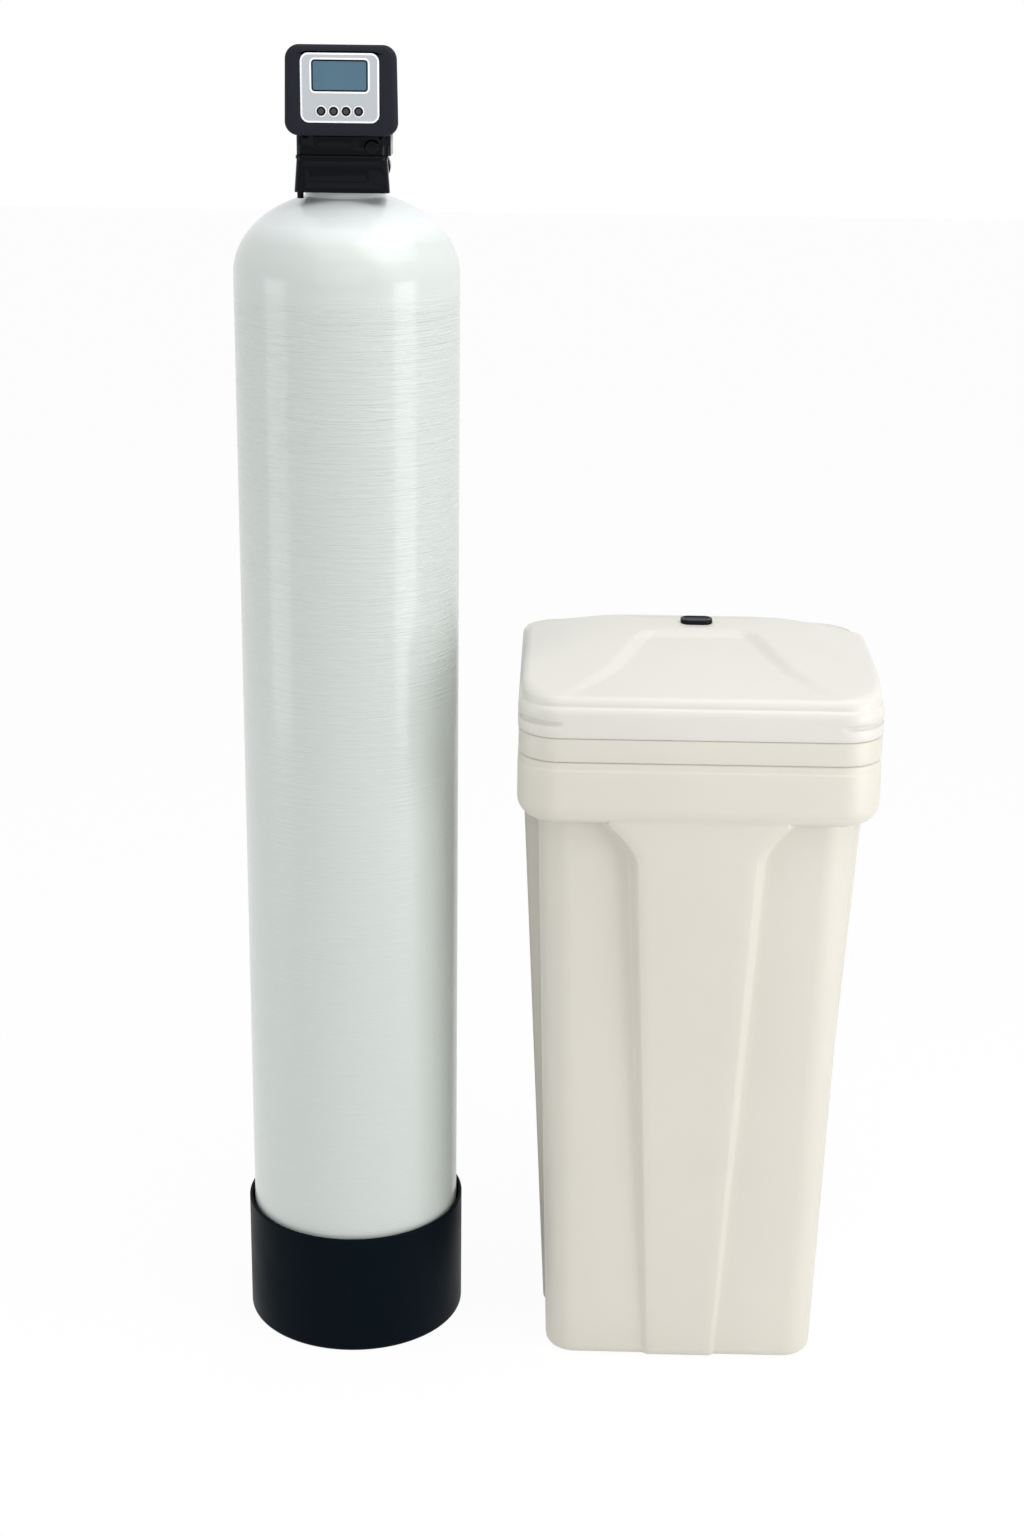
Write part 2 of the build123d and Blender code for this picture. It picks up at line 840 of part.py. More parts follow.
def turbine_cage():
    outer = port_bore_radius - cage_clearance
    cage = ring(outer, outer - cage_wall, cage_length, 0)
    spider = disc(cage_hub_radius, cage_spoke_thickness, 0)
    for k in range(3):
        spoke = Pos(0, -cage_spoke_width / 2, 0) * Box(
            outer - cage_wall / 2, cage_spoke_width, cage_spoke_thickness,
            align=(Align.MIN, Align.MIN, Align.MIN))
        spider += Rot(0, 0, 120 * k) * spoke
    spider -= disc(axle_radius + running_clearance, cage_spoke_thickness + 2 * overrun, -overrun)
    cage += spider
    cage += Pos(0, 0, cage_length - cage_spoke_thickness) * spider
    return along_outlet(cage)


def flow_turbine():
    start = (cage_length - turbine_length) / 2
    rotor = disc(turbine_hub_radius, turbine_length, start)
    for k in range(turbine_blades):
        blade = Box(turbine_radius, blade_thickness, turbine_length * math.cos(math.radians(blade_angle)),
                    align=(Align.MIN, Align.CENTER, Align.CENTER))
        blade = Pos(0, 0, cage_length / 2) * Rot(blade_angle, 0, 0) * blade
        rotor += Rot(0, 0, 360 * k / turbine_blades) * blade
    rotor &= disc(turbine_radius, turbine_length, start)
    rotor += disc(axle_radius, cage_length, 0)
    return along_outlet(rotor)


# Head
def head_outline(inset, y):
    """The head's front view at one place along Y: its sides and top draw in towards the back."""
    behind = y - head_front
    foot = head_bottom_width / 2 - side_draft_share * behind
    crown = head_top_width / 2 - side_draft_share * behind
    top = head_z + head_height - top_draft_share * behind
    points = [(-foot, head_z), (foot, head_z), (crown, top), (-crown, top)]
    face = make_face(Polyline(*points, close=True))
    face = fillet(face.vertices(), head_corner_radius)
    if inset > 0:
        face = offset(face, -inset)
    return Plane((head_shift, y, 0), x_dir=(1, 0, 0), z_dir=(0, -1, 0)) * face


def head_slab(inset, start, end):
    """The head's drafted outline as a solid between two places along Y."""
    return loft([head_outline(inset, start), head_outline(inset, end)], ruled=True)


def panel_z():
    return head_z + panel_rise


def button_places():
    first = -button_pitch * (button_count - 1) / 2
    return [first + k * button_pitch for k in range(button_count)]


def boss_places():
    places = []
    for x in (-boss_shift_x, boss_shift_x):
        for z in (-boss_shift_z, boss_shift_z):
            places.append((x, panel_z() + z))
    return places


def head_cover():
    cover = head_slab(0, head_front, head_seam)
    cover = fillet(cover.faces().sort_by(Axis.Y)[0].edges(), head_front_radius)
    inner = head_front + head_wall
    cover -= head_slab(head_wall, inner, head_seam + overrun)
    x = panel_shift
    cover -= plate_y(panel_width + 2 * panel_gap, panel_height + 2 * panel_gap, panel_radius,
                     head_front - overrun, panel_back, x, panel_z())
    opening_width = panel_width - 2 * panel_ledge
    opening_height = panel_height - 2 * panel_ledge
    cover -= plate_y(opening_width, opening_height, panel_radius - panel_ledge,
                     head_front, inner + overrun, x, panel_z())
    for bx, bz in boss_places():
        cover += rod_y(boss_radius, inner, board_front, bx, bz)
        cover -= rod_y(boss_hole_radius, inner, board_front + overrun, bx, bz)
    return cover


def head_screw_places():
    places = []
    for x in (-head_screw_shift_x, head_screw_shift_x):
        for y in (head_screw_front, head_screw_back):
            places.append(Pos(x, y, 0))
    return places


def head_housing():
    housing = head_slab(0, head_seam, head_back)
    housing -= head_slab(head_wall, head_seam - overrun, head_back - head_wall)
    tongue = head_slab(head_wall + head_tongue_gap, head_seam - head_tongue, head_seam + head_tongue)
    inner = head_wall + head_tongue_gap + head_tongue_wall
    tongue -= head_slab(inner, head_seam - head_tongue - overrun, head_seam + head_tongue + overrun)
    link = head_slab(head_wall - head_tongue_gap, head_seam, head_seam + head_tongue)
    link -= head_slab(inner, head_seam - overrun, head_seam + head_tongue + overrun)
    housing += tongue + link
    housing -= disc(bonnet_radius + bonnet_opening_gap, head_wall + 2 * overrun, head_z - overrun)
    for place in head_screw_places():
        housing -= place * disc(screw_shank_radius, head_wall + 2 * overrun, head_z - overrun)
    z = head_z + socket_rise
    inside = head_back - head_wall
    housing -= rod_y(socket_body_radius, inside - overrun, head_back + overrun, socket_shift, z)
    return housing


def head_screws():
    z = head_z + head_wall
    return Part(children=[place * Pos(0, 0, z) * screw(screw_length) for place in head_screw_places()])


def face_panel():
    panel = plate_y(panel_width, panel_height, panel_radius, panel_front, panel_back, panel_shift, panel_z())
    front_edges = panel.edges().group_by(Axis.Y)[0]
    panel = fillet(front_edges, edge_radius / 2)
    z = head_z + window_rise
    seat = panel_front + window_seat_depth
    panel -= plate_y(window_width + 2 * window_gap, window_height + 2 * window_gap, window_radius,
                     panel_front - overrun, seat, panel_shift, z)
    panel -= plate_y(window_width - 2 * window_ledge, window_height - 2 * window_ledge,
                     window_radius - window_ledge, panel_front, panel_back + overrun, panel_shift, z)
    for x in button_places():
        z = head_z + button_rise
        panel -= rod_y(button_hole_radius, panel_front - overrun, panel_back + overrun, x, z)
    return panel


def display_window():
    seat = panel_front + window_seat_depth
    return plate_y(window_width, window_height, window_radius, seat - window_thickness, seat,
                   panel_shift, head_z + window_rise)


def display_module():
    width = window_width + 2 * module_margin
    height = window_height + 2 * module_margin
    return plate_y(width, height, edge_radius, panel_back, board_front, panel_shift, head_z + window_rise)


def push_button(x):
    """A button with its cap in the panel's hole, its flange behind the panel and a stem to its switch."""
    z = head_z + button_rise
    cap_front = panel_front - button_proud
    flange_front = panel_back + button_flange_gap
    flange_back = flange_front + button_flange_thickness
    stem_end = board_front - switch_height - button_travel - button_flange_gap
    button = rod_y(button_radius, cap_front, flange_front, x, z)
    button = fillet(button.edges().group_by(Axis.Y)[0], button_dish_depth)
    button += rod_y(button_flange_radius, flange_front, flange_back, x, z)
    button += rod_y(button_stem_radius, flange_back, stem_end, x, z)
    return button - rod_y(button_dish_radius, cap_front - overrun, cap_front + button_dish_depth, x, z)


def key_switches():
    z = head_z + button_rise
    keys = []
    for x in button_places():
        start = board_front - switch_height
        keys.append(plate_y(switch_width, switch_width, edge_radius, start, board_front, x, z))
    return Part(children=keys)


def circuit_board():
    back = board_front + board_thickness
    board = plate_y(board_width, board_height, edge_radius, board_front, back, 0, panel_z())
    for x, z in boss_places():
        board -= rod_y(boss_hole_radius, board_front - overrun, back + overrun, x, z)
    return board


def board_screws():
    back = board_front + board_thickness
    length = board_stand - head_wall / 2 + board_thickness
    screws = []
    for x, z in boss_places():
        screws.append(Pos(x, back, z) * UP * screw(length))
    return Part(children=screws)


# Drive in the head
def toothed(teeth, width, first_angle):
    """A spur gear with straight-flanked teeth, the first tooth centred on first_angle in degrees."""
    pitch_radius = gear_module * teeth / 2
    root = pitch_radius - 1.25 * gear_module
    tip = pitch_radius + gear_module
    pitch_angle = 2 * math.pi / teeth
    root_half = pitch_angle * (tooth_root_share + tooth_tip_share - tooth_backlash_share) / 2
    tip_half = pitch_angle * tooth_tip_share / 2
    points = []
    for k in range(teeth):
        middle = math.radians(first_angle) + k * pitch_angle
        for radius, half in ((root, -root_half), (tip, -tip_half), (tip, tip_half), (root, root_half)):
            points.append((radius * math.cos(middle + half), radius * math.sin(middle + half)))
    return extrude(make_face(Polyline(*points, close=True)), width)


def drive_gear():
    gear = Pos(0, 0, gear_z) * toothed(gear_teeth, gear_width, 0)
    return gear - disc(spindle_tip_radius, gear_width + 2 * overrun, gear_z - overrun)


def motor_pinion():
    pinion = toothed(pinion_teeth, gear_width, 180 + 180 / pinion_teeth)
    shaft_end = plate_z + plate_thickness + motor_height / 3
    pinion = Pos(0, 0, gear_z) * pinion + disc(pinion_shaft_radius, shaft_end - gear_z, gear_z)
    return Pos(pinion_distance, 0, 0) * pinion


def post_places():
    places = []
    for x in (-post_shift_x, post_shift_x):
        for y in (post_front, post_back):
            places.append(Pos(x, y, 0))
    return places


def motor_screw_places():
    return [Pos(pinion_distance, y, 0) for y in (-motor_screw_shift, motor_screw_shift)]


def gear_plate():
    depth = plate_back - plate_front
    plate = Pos(head_shift, (plate_front + plate_back) / 2, 0) * block(
        2 * plate_half_width, depth, post_radius, plate_thickness, plate_z)
    floor = head_z + head_wall
    for place in post_places():
        plate += place * disc(post_radius, plate_z - floor, floor)
    plate -= Pos(pinion_distance, 0, 0) * disc(pinion_shaft_radius + seat_clearance,
                                               plate_thickness + 2 * overrun, plate_z - overrun)
    for place in motor_screw_places():
        plate -= place * disc(screw_shank_radius, plate_thickness + 2 * overrun, plate_z - overrun)
    return plate


def drive_motor():
    z = plate_z + plate_thickness
    motor = Pos(pinion_distance, 0, 0) * disc(motor_radius, motor_height, z)
    motor = fillet(motor.edges().group_by(Axis.Z)[-1], edge_radius)
    ears = Pos(pinion_distance, 0, z) * extrude(
        RectangleRounded(motor_ear_width, 2 * motor_ear_reach, motor_ear_width / 3), motor_ear_thickness)
    motor += ears
    bore = disc(pinion_shaft_radius + running_clearance, motor_height / 2, z - overrun)
    motor -= Pos(pinion_distance, 0, 0) * bore
    for place in motor_screw_places():
        motor -= place * disc(screw_shank_radius, motor_ear_thickness + 2 * overrun, z - overrun)
    return motor


def motor_screws():
    z = plate_z + plate_thickness + motor_ear_thickness
    return Part(children=[place * Pos(0, 0, z) * screw(motor_screw_length) for place in motor_screw_places()])


def power_socket():
    z = head_z + socket_rise
    end = head_back + socket_flange_thickness
    socket = rod_y(socket_body_radius, end - socket_length, end, socket_shift, z)
    socket += rod_y(socket_flange_radius, head_back, end, socket_shift, z)
    return socket - rod_y(socket_bore_radius, end - socket_bore_length, end + overrun, socket_shift, z)


# Brine tank
def body_half(z, base_half, top_half):
    """The half width of a tapered wall at height z."""
    return base_half + (top_half - base_half) * z / body_top


def wedge_outline(inset):
    """The raised panel's front view: narrow at the foot, flared under the flange."""
    foot = wedge_foot_half - inset
    neck = wedge_neck_half - inset
    head = wedge_head_half - inset
    rise = body_top - wedge_neck_z
    bend = (rise ** 2 + (head - neck) ** 2) / (2 * (head - neck))
    middle_angle = math.asin(rise / bend) / 2
    middle_x = neck + bend * (1 - math.cos(middle_angle))
    middle_z = wedge_neck_z + bend * math.sin(middle_angle)
    top = body_top + flange_edge_radius
    right = [
        Line((0, 0), (foot, 0)),
        Line((foot, 0), (neck, wedge_neck_z)),
        ThreePointArc((neck, wedge_neck_z), (middle_x, middle_z), (head, body_top)),
        Line((head, body_top), (head, top)),
        Line((head, top), (0, top)),
        Line((0, top), (0, 0)),
    ]
    half = outline(right)
    return half + mirror(half, Plane.YZ)


def wedges(inset):
    """All four raised panels as one solid, cut to the slope of their faces."""
    z_low = -overrun if inset == 0 else 0
    reach = 2 * flange_half
    slab = extrude(Plane.XZ * wedge_outline(inset), reach / 2, both=True)
    cross = slab + Rot(0, 0, 90) * slab
    low = body_half(z_low, wedge_base_half, wedge_top_half) - inset
    z_high = body_top + flange_edge_radius
    high = body_half(z_high, wedge_base_half, wedge_top_half) - inset
    low_face = Pos(0, 0, z_low) * Rectangle(2 * low, 2 * low)
    high_face = Pos(0, 0, z_high) * Rectangle(2 * high, 2 * high)
    return cross & loft([low_face, high_face])


def corner_column(inset, z_low, z_high):
    low = body_half(z_low, corner_base_half, corner_top_half) - inset
    high = body_half(z_high, corner_base_half, corner_top_half) - inset
    return tapered(low, corner_radius_base - inset, z_low, high, corner_radius_top - inset, z_high)


def flange_block(inset, z_low, z_high):
    side = 2 * (flange_half - inset)
    return block(side, side, flange_radius - inset, z_high - z_low, z_low)


def brine_tank():
    column = corner_column(0, 0, body_top + brine_wall)
    column = fillet(column.edges().group_by(Axis.Z)[0], brine_foot_radius)
    flange = flange_block(0, body_top, flange_top)
    flange = fillet(flange.edges().group_by(Axis.Z)[0], flange_edge_radius)
    outer = column + wedges(0) + flange
    cavity = corner_column(brine_wall, brine_wall, body_top + 2 * brine_wall)
    inner_flange = flange_block(brine_wall, body_top + brine_wall, flange_top + overrun)
    inner_flange = fillet(inner_flange.edges().group_by(Axis.Z)[0], flange_edge_radius - brine_wall)
    keep = Pos(0, 0, brine_wall) * Box(2 * flange_half, 2 * flange_half, body_top, align=LOW)
    cavity = cavity + (wedges(brine_wall) & keep) + inner_flange
    tank = outer - cavity
    tank -= rod_y(overflow_radius + overflow_hole_gap, flange_half - 2 * brine_wall, flange_half + overrun,
                  overflow_shift, fitting_z)
    tank -= rod_y(grommet_hole_radius, flange_half - 2 * brine_wall, flange_half + overrun,
                  grommet_shift, fitting_z)
    return at_brine(tank)


def rim_collar():
    band = flange_block(collar_inset, flange_top, collar_top)
    band -= flange_block(brine_wall + collar_inset, flange_top - overrun, collar_top + overrun)
    lip_out = brine_wall + collar_lip_gap
    lip = flange_block(lip_out, flange_top - collar_lip_height, collar_top + collar_lip_height)
    lip -= flange_block(lip_out + collar_lip_wall, flange_top - collar_lip_height - overrun,
                        collar_top + collar_lip_height + overrun)
    return at_brine(band + lip)


# Lid
def roof(inset):
    """The lid's roof: arched front to back, sloped at both sides, on the skirt's rounded square."""
    half = flange_half - roof_inset - inset
    reach = half + overrun
    low = lid_skirt_top - inset - (overrun if inset > 0 else 0)
    front_edge = (-roof_edge_y, roof_front_edge_z - inset)
    front_mid = (-roof_mid_y, roof_front_mid_z - inset)
    back_edge = (roof_edge_y, roof_back_edge_z - inset)
    back_mid = (roof_mid_y, roof_back_mid_z - inset)
    crest = (0, roof_crest_z - inset)
    shoulder_z = roof_side_z - roof_shoulder_drop - inset
    arch = [
        Line((-roof_edge_y, low), front_edge),
        ThreePointArc(front_edge, front_mid, crest),
        ThreePointArc(crest, back_mid, back_edge),
        Line(back_edge, (roof_edge_y, low)),
        Line((roof_edge_y, low), (-roof_edge_y, low)),
    ]
    slope = [(half, shoulder_z), (roof_side_half, roof_side_z - inset), (crest_half, roof_crest_z - inset)]
    right = [(reach, low), (reach, shoulder_z)] + slope
    left = [(-x, z) for x, z in reversed(right)]
    along_x = extrude(Plane.YZ * outline(arch), reach, both=True)
    profile = Plane.XZ * make_face(Polyline(*right, *left, close=True))
    stretch = math.hypot(1, roof_back_fall)
    along_y = extrude(profile, reach, dir=(0, -1, 0))
    along_y += extrude(profile, reach * stretch, dir=(0, 1 / stretch, -roof_back_fall / stretch))
    column = block(2 * half, 2 * half, flange_radius - inset, roof_crest_z, 0)
    return along_x & along_y & column


def recess_tool(direction, drop):
    """The sunk panel in the front slope (direction -1) or the rear slope (direction 1) of the roof.

    A drop lowers its floor and widens it all round, which leaves walls as thick as the floor.
    """
    back = recess_back - drop
    front = recess_front + drop
    back_half = recess_back_half + drop
    front_half = recess_front_half + drop
    middle = (back + front) / 2
    waist = (back_half + front_half) / 2
    top = roof_crest_z + overrun
    plan = [
        Line((-back_half, back), (back_half, back)),
        Spline((back_half, back), (waist, middle), (front_half, front), tangents=((0.25, 1), (0.6, 1))),
        Line((front_half, front), (-front_half, front)),
        Spline((-front_half, front), (-waist, middle), (-back_half, back), tangents=((0.6, -1), (0.25, -1))),
    ]
    prism = extrude(outline(plan), top)
    foot_z = recess_front_z if direction < 0 else recess_rear_z
    fall = drop * (recess_back_z - foot_z) / (recess_front - recess_back)
    slope = [(back, recess_back_z - drop + fall), (front, foot_z - drop - fall), (front, top), (back, top)]
    wedge = extrude(Plane.YZ * make_face(Polyline(*slope, close=True)), front_half, both=True)
    tool = prism & wedge
    return tool if direction > 0 else mirror(tool, Plane.XZ)


def corner_notches():
    """Short grip grooves round the skirt's four corners."""
    band = flange_block(-overrun, notch_z, notch_z + notch_height)
    band -= flange_block(notch_depth, notch_z - overrun, notch_z + notch_height + overrun)
    reach = flange_half - notch_length
    for turn in (0, 90):
        keep_out = Box(2 * reach, 4 * flange_half, notch_height + 2 * overrun, align=LOW)
        band -= Rot(0, 0, turn) * Pos(0, 0, notch_z - overrun) * keep_out
    return band


def brine_lid():
    skirt = flange_block(0, collar_top, lid_skirt_top)
    lid = skirt + roof(0)
    lid -= recess_tool(-1, 0)
    lid -= recess_tool(1, 0)
    lid -= corner_notches()
    inner = roof(lid_wall)
    inner -= recess_tool(-1, lid_wall)
    inner -= recess_tool(1, lid_wall)
    inner += flange_block(lid_wall, collar_top - overrun, lid_skirt_top - lid_wall)
    lid -= inner
    seat = roof_crest_z - grip_seat_depth
    lid -= block(grip_width, grip_depth, grip_radius, grip_seat_depth + overrun, seat)
    return at_brine(lid)


def lid_grip():
    seat = roof_crest_z - grip_seat_depth
    grip = block(grip_width, grip_depth, grip_radius, grip_seat_depth + grip_proud, seat)
    return at_brine(fillet(grip.edges().group_by(Axis.Z)[-1], edge_radius))


# Salt grid and brine well
def salt_grid():
    half = body_half(grid_z, corner_base_half, corner_top_half) - brine_wall - grid_edge_gap
    plate = block(2 * half, 2 * half, corner_radius_base, grid_thickness, grid_z)
    well_hole = well_radius + grid_well_clearance
    cut_length = grid_thickness + 2 * overrun
    plate -= Pos(well_shift_x, well_shift_y, 0) * disc(well_hole, cut_length, grid_z - overrun)
    keep_off = well_hole + 2 * grid_hole_radius
    first = -grid_hole_pitch * (grid_hole_count - 1) / 2
    holes = []
    for i in range(grid_hole_count):
        for j in range(grid_hole_count):
            x = first + i * grid_hole_pitch
            y = first + j * grid_hole_pitch
            if math.hypot(x - well_shift_x, y - well_shift_y) < keep_off:
                continue
            holes.append(Pos(x, y, 0) * disc(grid_hole_radius, cut_length, grid_z - overrun))
    return at_brine(plate - holes)


def grid_legs():
    legs = []
    height = grid_z - brine_wall
    for x, y in ((-1, -1), (1, -1), (1, 1)):
        place = Pos(brine_x + x * grid_leg_shift, brine_y + y * grid_leg_shift, 0)
        legs.append(place * ring(grid_leg_radius, grid_leg_radius - grid_leg_wall, height, brine_wall))
    return Part(children=legs)


def brine_well():
    height = well_top - brine_wall
    well = ring(well_radius, well_radius - well_wall, height, brine_wall)
    for k in range(4):
        cut = Pos(well_radius - well_wall, 0, brine_wall) * Box(
            4 * well_wall, well_slot_width, well_slot_height, align=LOW)
        well -= Rot(0, 0, 90 * k + 45) * cut
    z = valve_arm_z + valve_arm_height / 2
    well -= rod_y(spigot_radius + seat_clearance, 0, well_radius + overrun, pickup_shift, z)
    return at_well(well)


def brine_well_cap():
    outer = well_radius + seat_clearance + cap_skirt_wall
    cap = disc(outer, cap_thickness + cap_skirt_height, well_top - cap_skirt_height)
    cap = fillet(cap.edges().group_by(Axis.Z)[-1], edge_radius)
    skirt_foot = well_top - cap_skirt_height
    cap -= disc(well_radius + seat_clearance, cap_skirt_height + overrun, skirt_foot - overrun)
    cap += disc(cap_lift_tab_radius, cap_lift_tab_height, well_top + cap_thickness)
    return at_well(cap)


def safety_valve():
    z = valve_arm_z + valve_arm_height / 2
    left = pickup_shift - valve_arm_width / 2
    right = rod_shift + valve_arm_width / 2
    arm = Pos((left + right) / 2, 0, 0) * block(right - left, valve_arm_width, edge_radius,
                                                valve_arm_height, valve_arm_z)
    arm += rod_y(spigot_radius, 0, well_radius + spigot_reach, pickup_shift, z)
    arm -= rod_y(spigot_radius - 2 * pickup_wall, 0, well_radius + spigot_reach + overrun,
                 pickup_shift, z)
    arm -= Pos(pickup_shift, 0, 0) * disc(pickup_radius, valve_arm_height / 2, valve_arm_z - overrun)
    arm -= Pos(rod_shift, 0, 0) * disc(rod_radius + rod_guide_gap, valve_arm_height + 2 * overrun,
                                       valve_arm_z - overrun)
    return at_well(arm)


def pickup_tube():
    top = valve_arm_z + valve_arm_height / 2 - overrun
    foot = brine_wall + check_stand + check_height
    tube = ring(pickup_radius, pickup_radius - pickup_wall, top - foot, foot)
    return at_well(Pos(pickup_shift, 0, 0) * tube)


def air_check():
    z = brine_wall + check_stand
    cage = disc(check_radius, check_height, z)
    inner = check_radius - check_wall
    cage -= disc(inner, check_height - 2 * check_floor, z + check_floor)
    cage -= disc(check_hole_radius, check_height, z - overrun)
    cage -= disc(pickup_radius - pickup_wall, check_height, z + check_floor)
    for k in range(4):
        cut = Pos(inner - check_wall, 0, z + 2 * check_floor) * Box(
            4 * check_wall, check_window_width, check_window_height, align=LOW)
        cage -= Rot(0, 0, 90 * k) * cut
    for k in range(3):
        foot = Rot(0, 0, 120 * k) * Pos(inner - check_wall / 2, 0, brine_wall)
        cage += foot * Cylinder(check_wall, check_stand + check_floor, align=LOW)
    return at_well(Pos(pickup_shift, 0, 0) * cage)


def ball_z():
    """The height of the ball's centre where it rests in the cage's hole."""
    seat = brine_wall + check_stand + check_floor
    return seat + math.sqrt(ball_radius ** 2 - check_hole_radius ** 2) + ball_seat_gap


def check_ball():
    return at_well(Pos(pickup_shift, 0, ball_z()) * Sphere(ball_radius))


def float_rod():
    collar_z = valve_arm_z + valve_arm_height
    top = collar_z + rod_top_reach
    rod = disc(rod_radius, top - float_z, float_z)
    rod += disc(rod_collar_radius, rod_collar_height, collar_z)
    return at_well(Pos(rod_shift, 0, 0) * rod)


def float_bulb():
    bulb = disc(float_radius, float_height, float_z)
    rims = bulb.edges().group_by(Axis.Z)
    bulb = fillet(rims[0] + rims[-1], float_radius / 4)
    bulb -= disc(rod_radius, float_height + 2 * overrun, float_z - overrun)
    return at_well(Pos(rod_shift, 0, 0) * bulb)


def overflow_elbow():
    wall = flange_half
    x = overflow_shift
    turn = wall + overflow_flange_thickness + overflow_reach
    inner_end = wall - brine_wall - nut_thickness - overrun
    elbow = rod_y(overflow_radius, inner_end, turn, x, fitting_z)
    elbow += rod_y(overflow_flange_radius, wall, wall + overflow_flange_thickness, x, fitting_z)
    elbow += Pos(x, turn, fitting_z) * Sphere(overflow_radius)
    elbow += Pos(x, turn, 0) * disc(overflow_radius, overflow_drop, fitting_z - overflow_drop)
    spigot_z = fitting_z - overflow_drop - hose_spigot_length
    elbow += Pos(x, turn, 0) * disc(hose_spigot_radius, hose_spigot_length, spigot_z)
    elbow -= rod_y(overflow_bore_radius, inner_end - overrun, turn, x, fitting_z)
    elbow -= Pos(x, turn, 0) * disc(overflow_bore_radius, overflow_drop + hose_spigot_length + overrun,
                                    spigot_z - overrun)
    return at_brine(elbow)


def overflow_nut():
    inner = flange_half - brine_wall
    nut = Pos(overflow_shift, inner - nut_thickness, fitting_z) * UP * RegularPolygon(nut_radius, 6)
    nut = extrude(nut, nut_thickness, dir=(0, 1, 0))
    nut -= rod_y(overflow_radius, inner - nut_thickness - overrun, inner + overrun, overflow_shift, fitting_z)
    return at_brine(nut)


def tube_grommet():
    outer = flange_half
    inner = flange_half - brine_wall
    x = grommet_shift
    end = outer + grommet_nose_length
    flange_end = outer + grommet_flange_thickness
    start = inner - grommet_flange_thickness
    grommet = rod_y(grommet_hole_radius, start, flange_end, x, fitting_z)
    grommet += rod_y(grommet_flange_radius, outer, flange_end, x, fitting_z)
    grommet += rod_y(grommet_flange_radius, start, inner, x, fitting_z)
    grommet += rod_y(grommet_nose_radius, outer, end, x, fitting_z)
    grommet -= rod_y(grommet_bore_radius, outer, end + overrun, x, fitting_z)
    relief_end = outer + grommet_relief_over_wall
    return at_brine(grommet - rod_y(grommet_relief_radius, start - overrun, relief_end, x, fitting_z))


makers = {
    "pressure_tank": pressure_tank,
    "neck_insert": neck_insert,
    "neck_o_ring": neck_o_ring,
    "tank_boot": tank_boot,
    "riser_tube": riser_tube,
    "bottom_distributor": bottom_distributor,
    "top_distributor": top_distributor,
    "resin_bed": resin_bed,
    "valve_base": valve_base,
    "riser_o_ring": riser_o_ring,
    "valve_body": valve_body,
    "injector_cap": injector_cap,
    "injector_nozzle": injector_nozzle,
    "brine_connector": brine_connector,
    "disc_gasket": disc_gasket,
    "fixed_disc": fixed_disc,
    "moving_disc": moving_disc,
    "drive_spindle": drive_spindle,
    "thrust_washer": thrust_washer,
    "bonnet": bonnet,
    "bonnet_screws": bonnet_screws,
    "turbine_cage": turbine_cage,
    "flow_turbine": flow_turbine,
    "head_cover": head_cover,
    "head_housing": head_housing,
    "head_screws": head_screws,
    "face_panel": face_panel,
    "display_window": display_window,
    "display_module": display_module,
    "key_switches": key_switches,
    "circuit_board": circuit_board,
    "board_screws": board_screws,
    "drive_gear": drive_gear,
    "motor_pinion": motor_pinion,
    "gear_plate": gear_plate,
    "drive_motor": drive_motor,
    "motor_screws": motor_screws,
    "power_socket": power_socket,
    "brine_tank": brine_tank,
    "rim_collar": rim_collar,
    "brine_lid": brine_lid,
    "lid_grip": lid_grip,
    "salt_grid": salt_grid,
    "grid_legs": grid_legs,
    "brine_well": brine_well,
    "brine_well_cap": brine_well_cap,
    "safety_valve": safety_valve,
    "pickup_tube": pickup_tube,
    "air_check": air_check,
    "check_ball": check_ball,
    "float_rod": float_rod,
    "float_bulb": float_bulb,
    "overflow_elbow": overflow_elbow,
    "overflow_nut": overflow_nut,
    "tube_grommet": tube_grommet,
}

os.makedirs("parts", exist_ok=True)
for name, make in makers.items():
    export_step(make(), "parts/" + name + ".step")
for number, x in enumerate(button_places(), start=1):
    export_step(push_button(x), "parts/button_" + str(number) + ".step")
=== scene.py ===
import json
import math

import bmesh
import bpy
from mathutils import Matrix, Vector


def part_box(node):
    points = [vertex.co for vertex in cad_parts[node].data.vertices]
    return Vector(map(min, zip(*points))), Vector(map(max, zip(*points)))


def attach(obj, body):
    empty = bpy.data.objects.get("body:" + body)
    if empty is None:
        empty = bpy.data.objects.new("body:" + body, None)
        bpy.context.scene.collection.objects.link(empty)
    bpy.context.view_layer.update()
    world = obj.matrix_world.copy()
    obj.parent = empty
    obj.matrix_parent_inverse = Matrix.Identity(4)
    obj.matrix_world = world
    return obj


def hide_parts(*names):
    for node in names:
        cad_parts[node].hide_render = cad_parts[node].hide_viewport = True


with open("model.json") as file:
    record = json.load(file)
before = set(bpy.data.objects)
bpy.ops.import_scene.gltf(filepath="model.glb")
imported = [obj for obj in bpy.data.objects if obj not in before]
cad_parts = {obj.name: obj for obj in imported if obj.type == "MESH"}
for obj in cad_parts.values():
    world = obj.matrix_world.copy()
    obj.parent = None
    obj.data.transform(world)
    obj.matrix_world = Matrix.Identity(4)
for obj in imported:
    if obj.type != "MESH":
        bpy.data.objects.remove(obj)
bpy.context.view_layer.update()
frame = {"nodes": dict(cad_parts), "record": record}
scene = bpy.context.scene
MM = 0.001

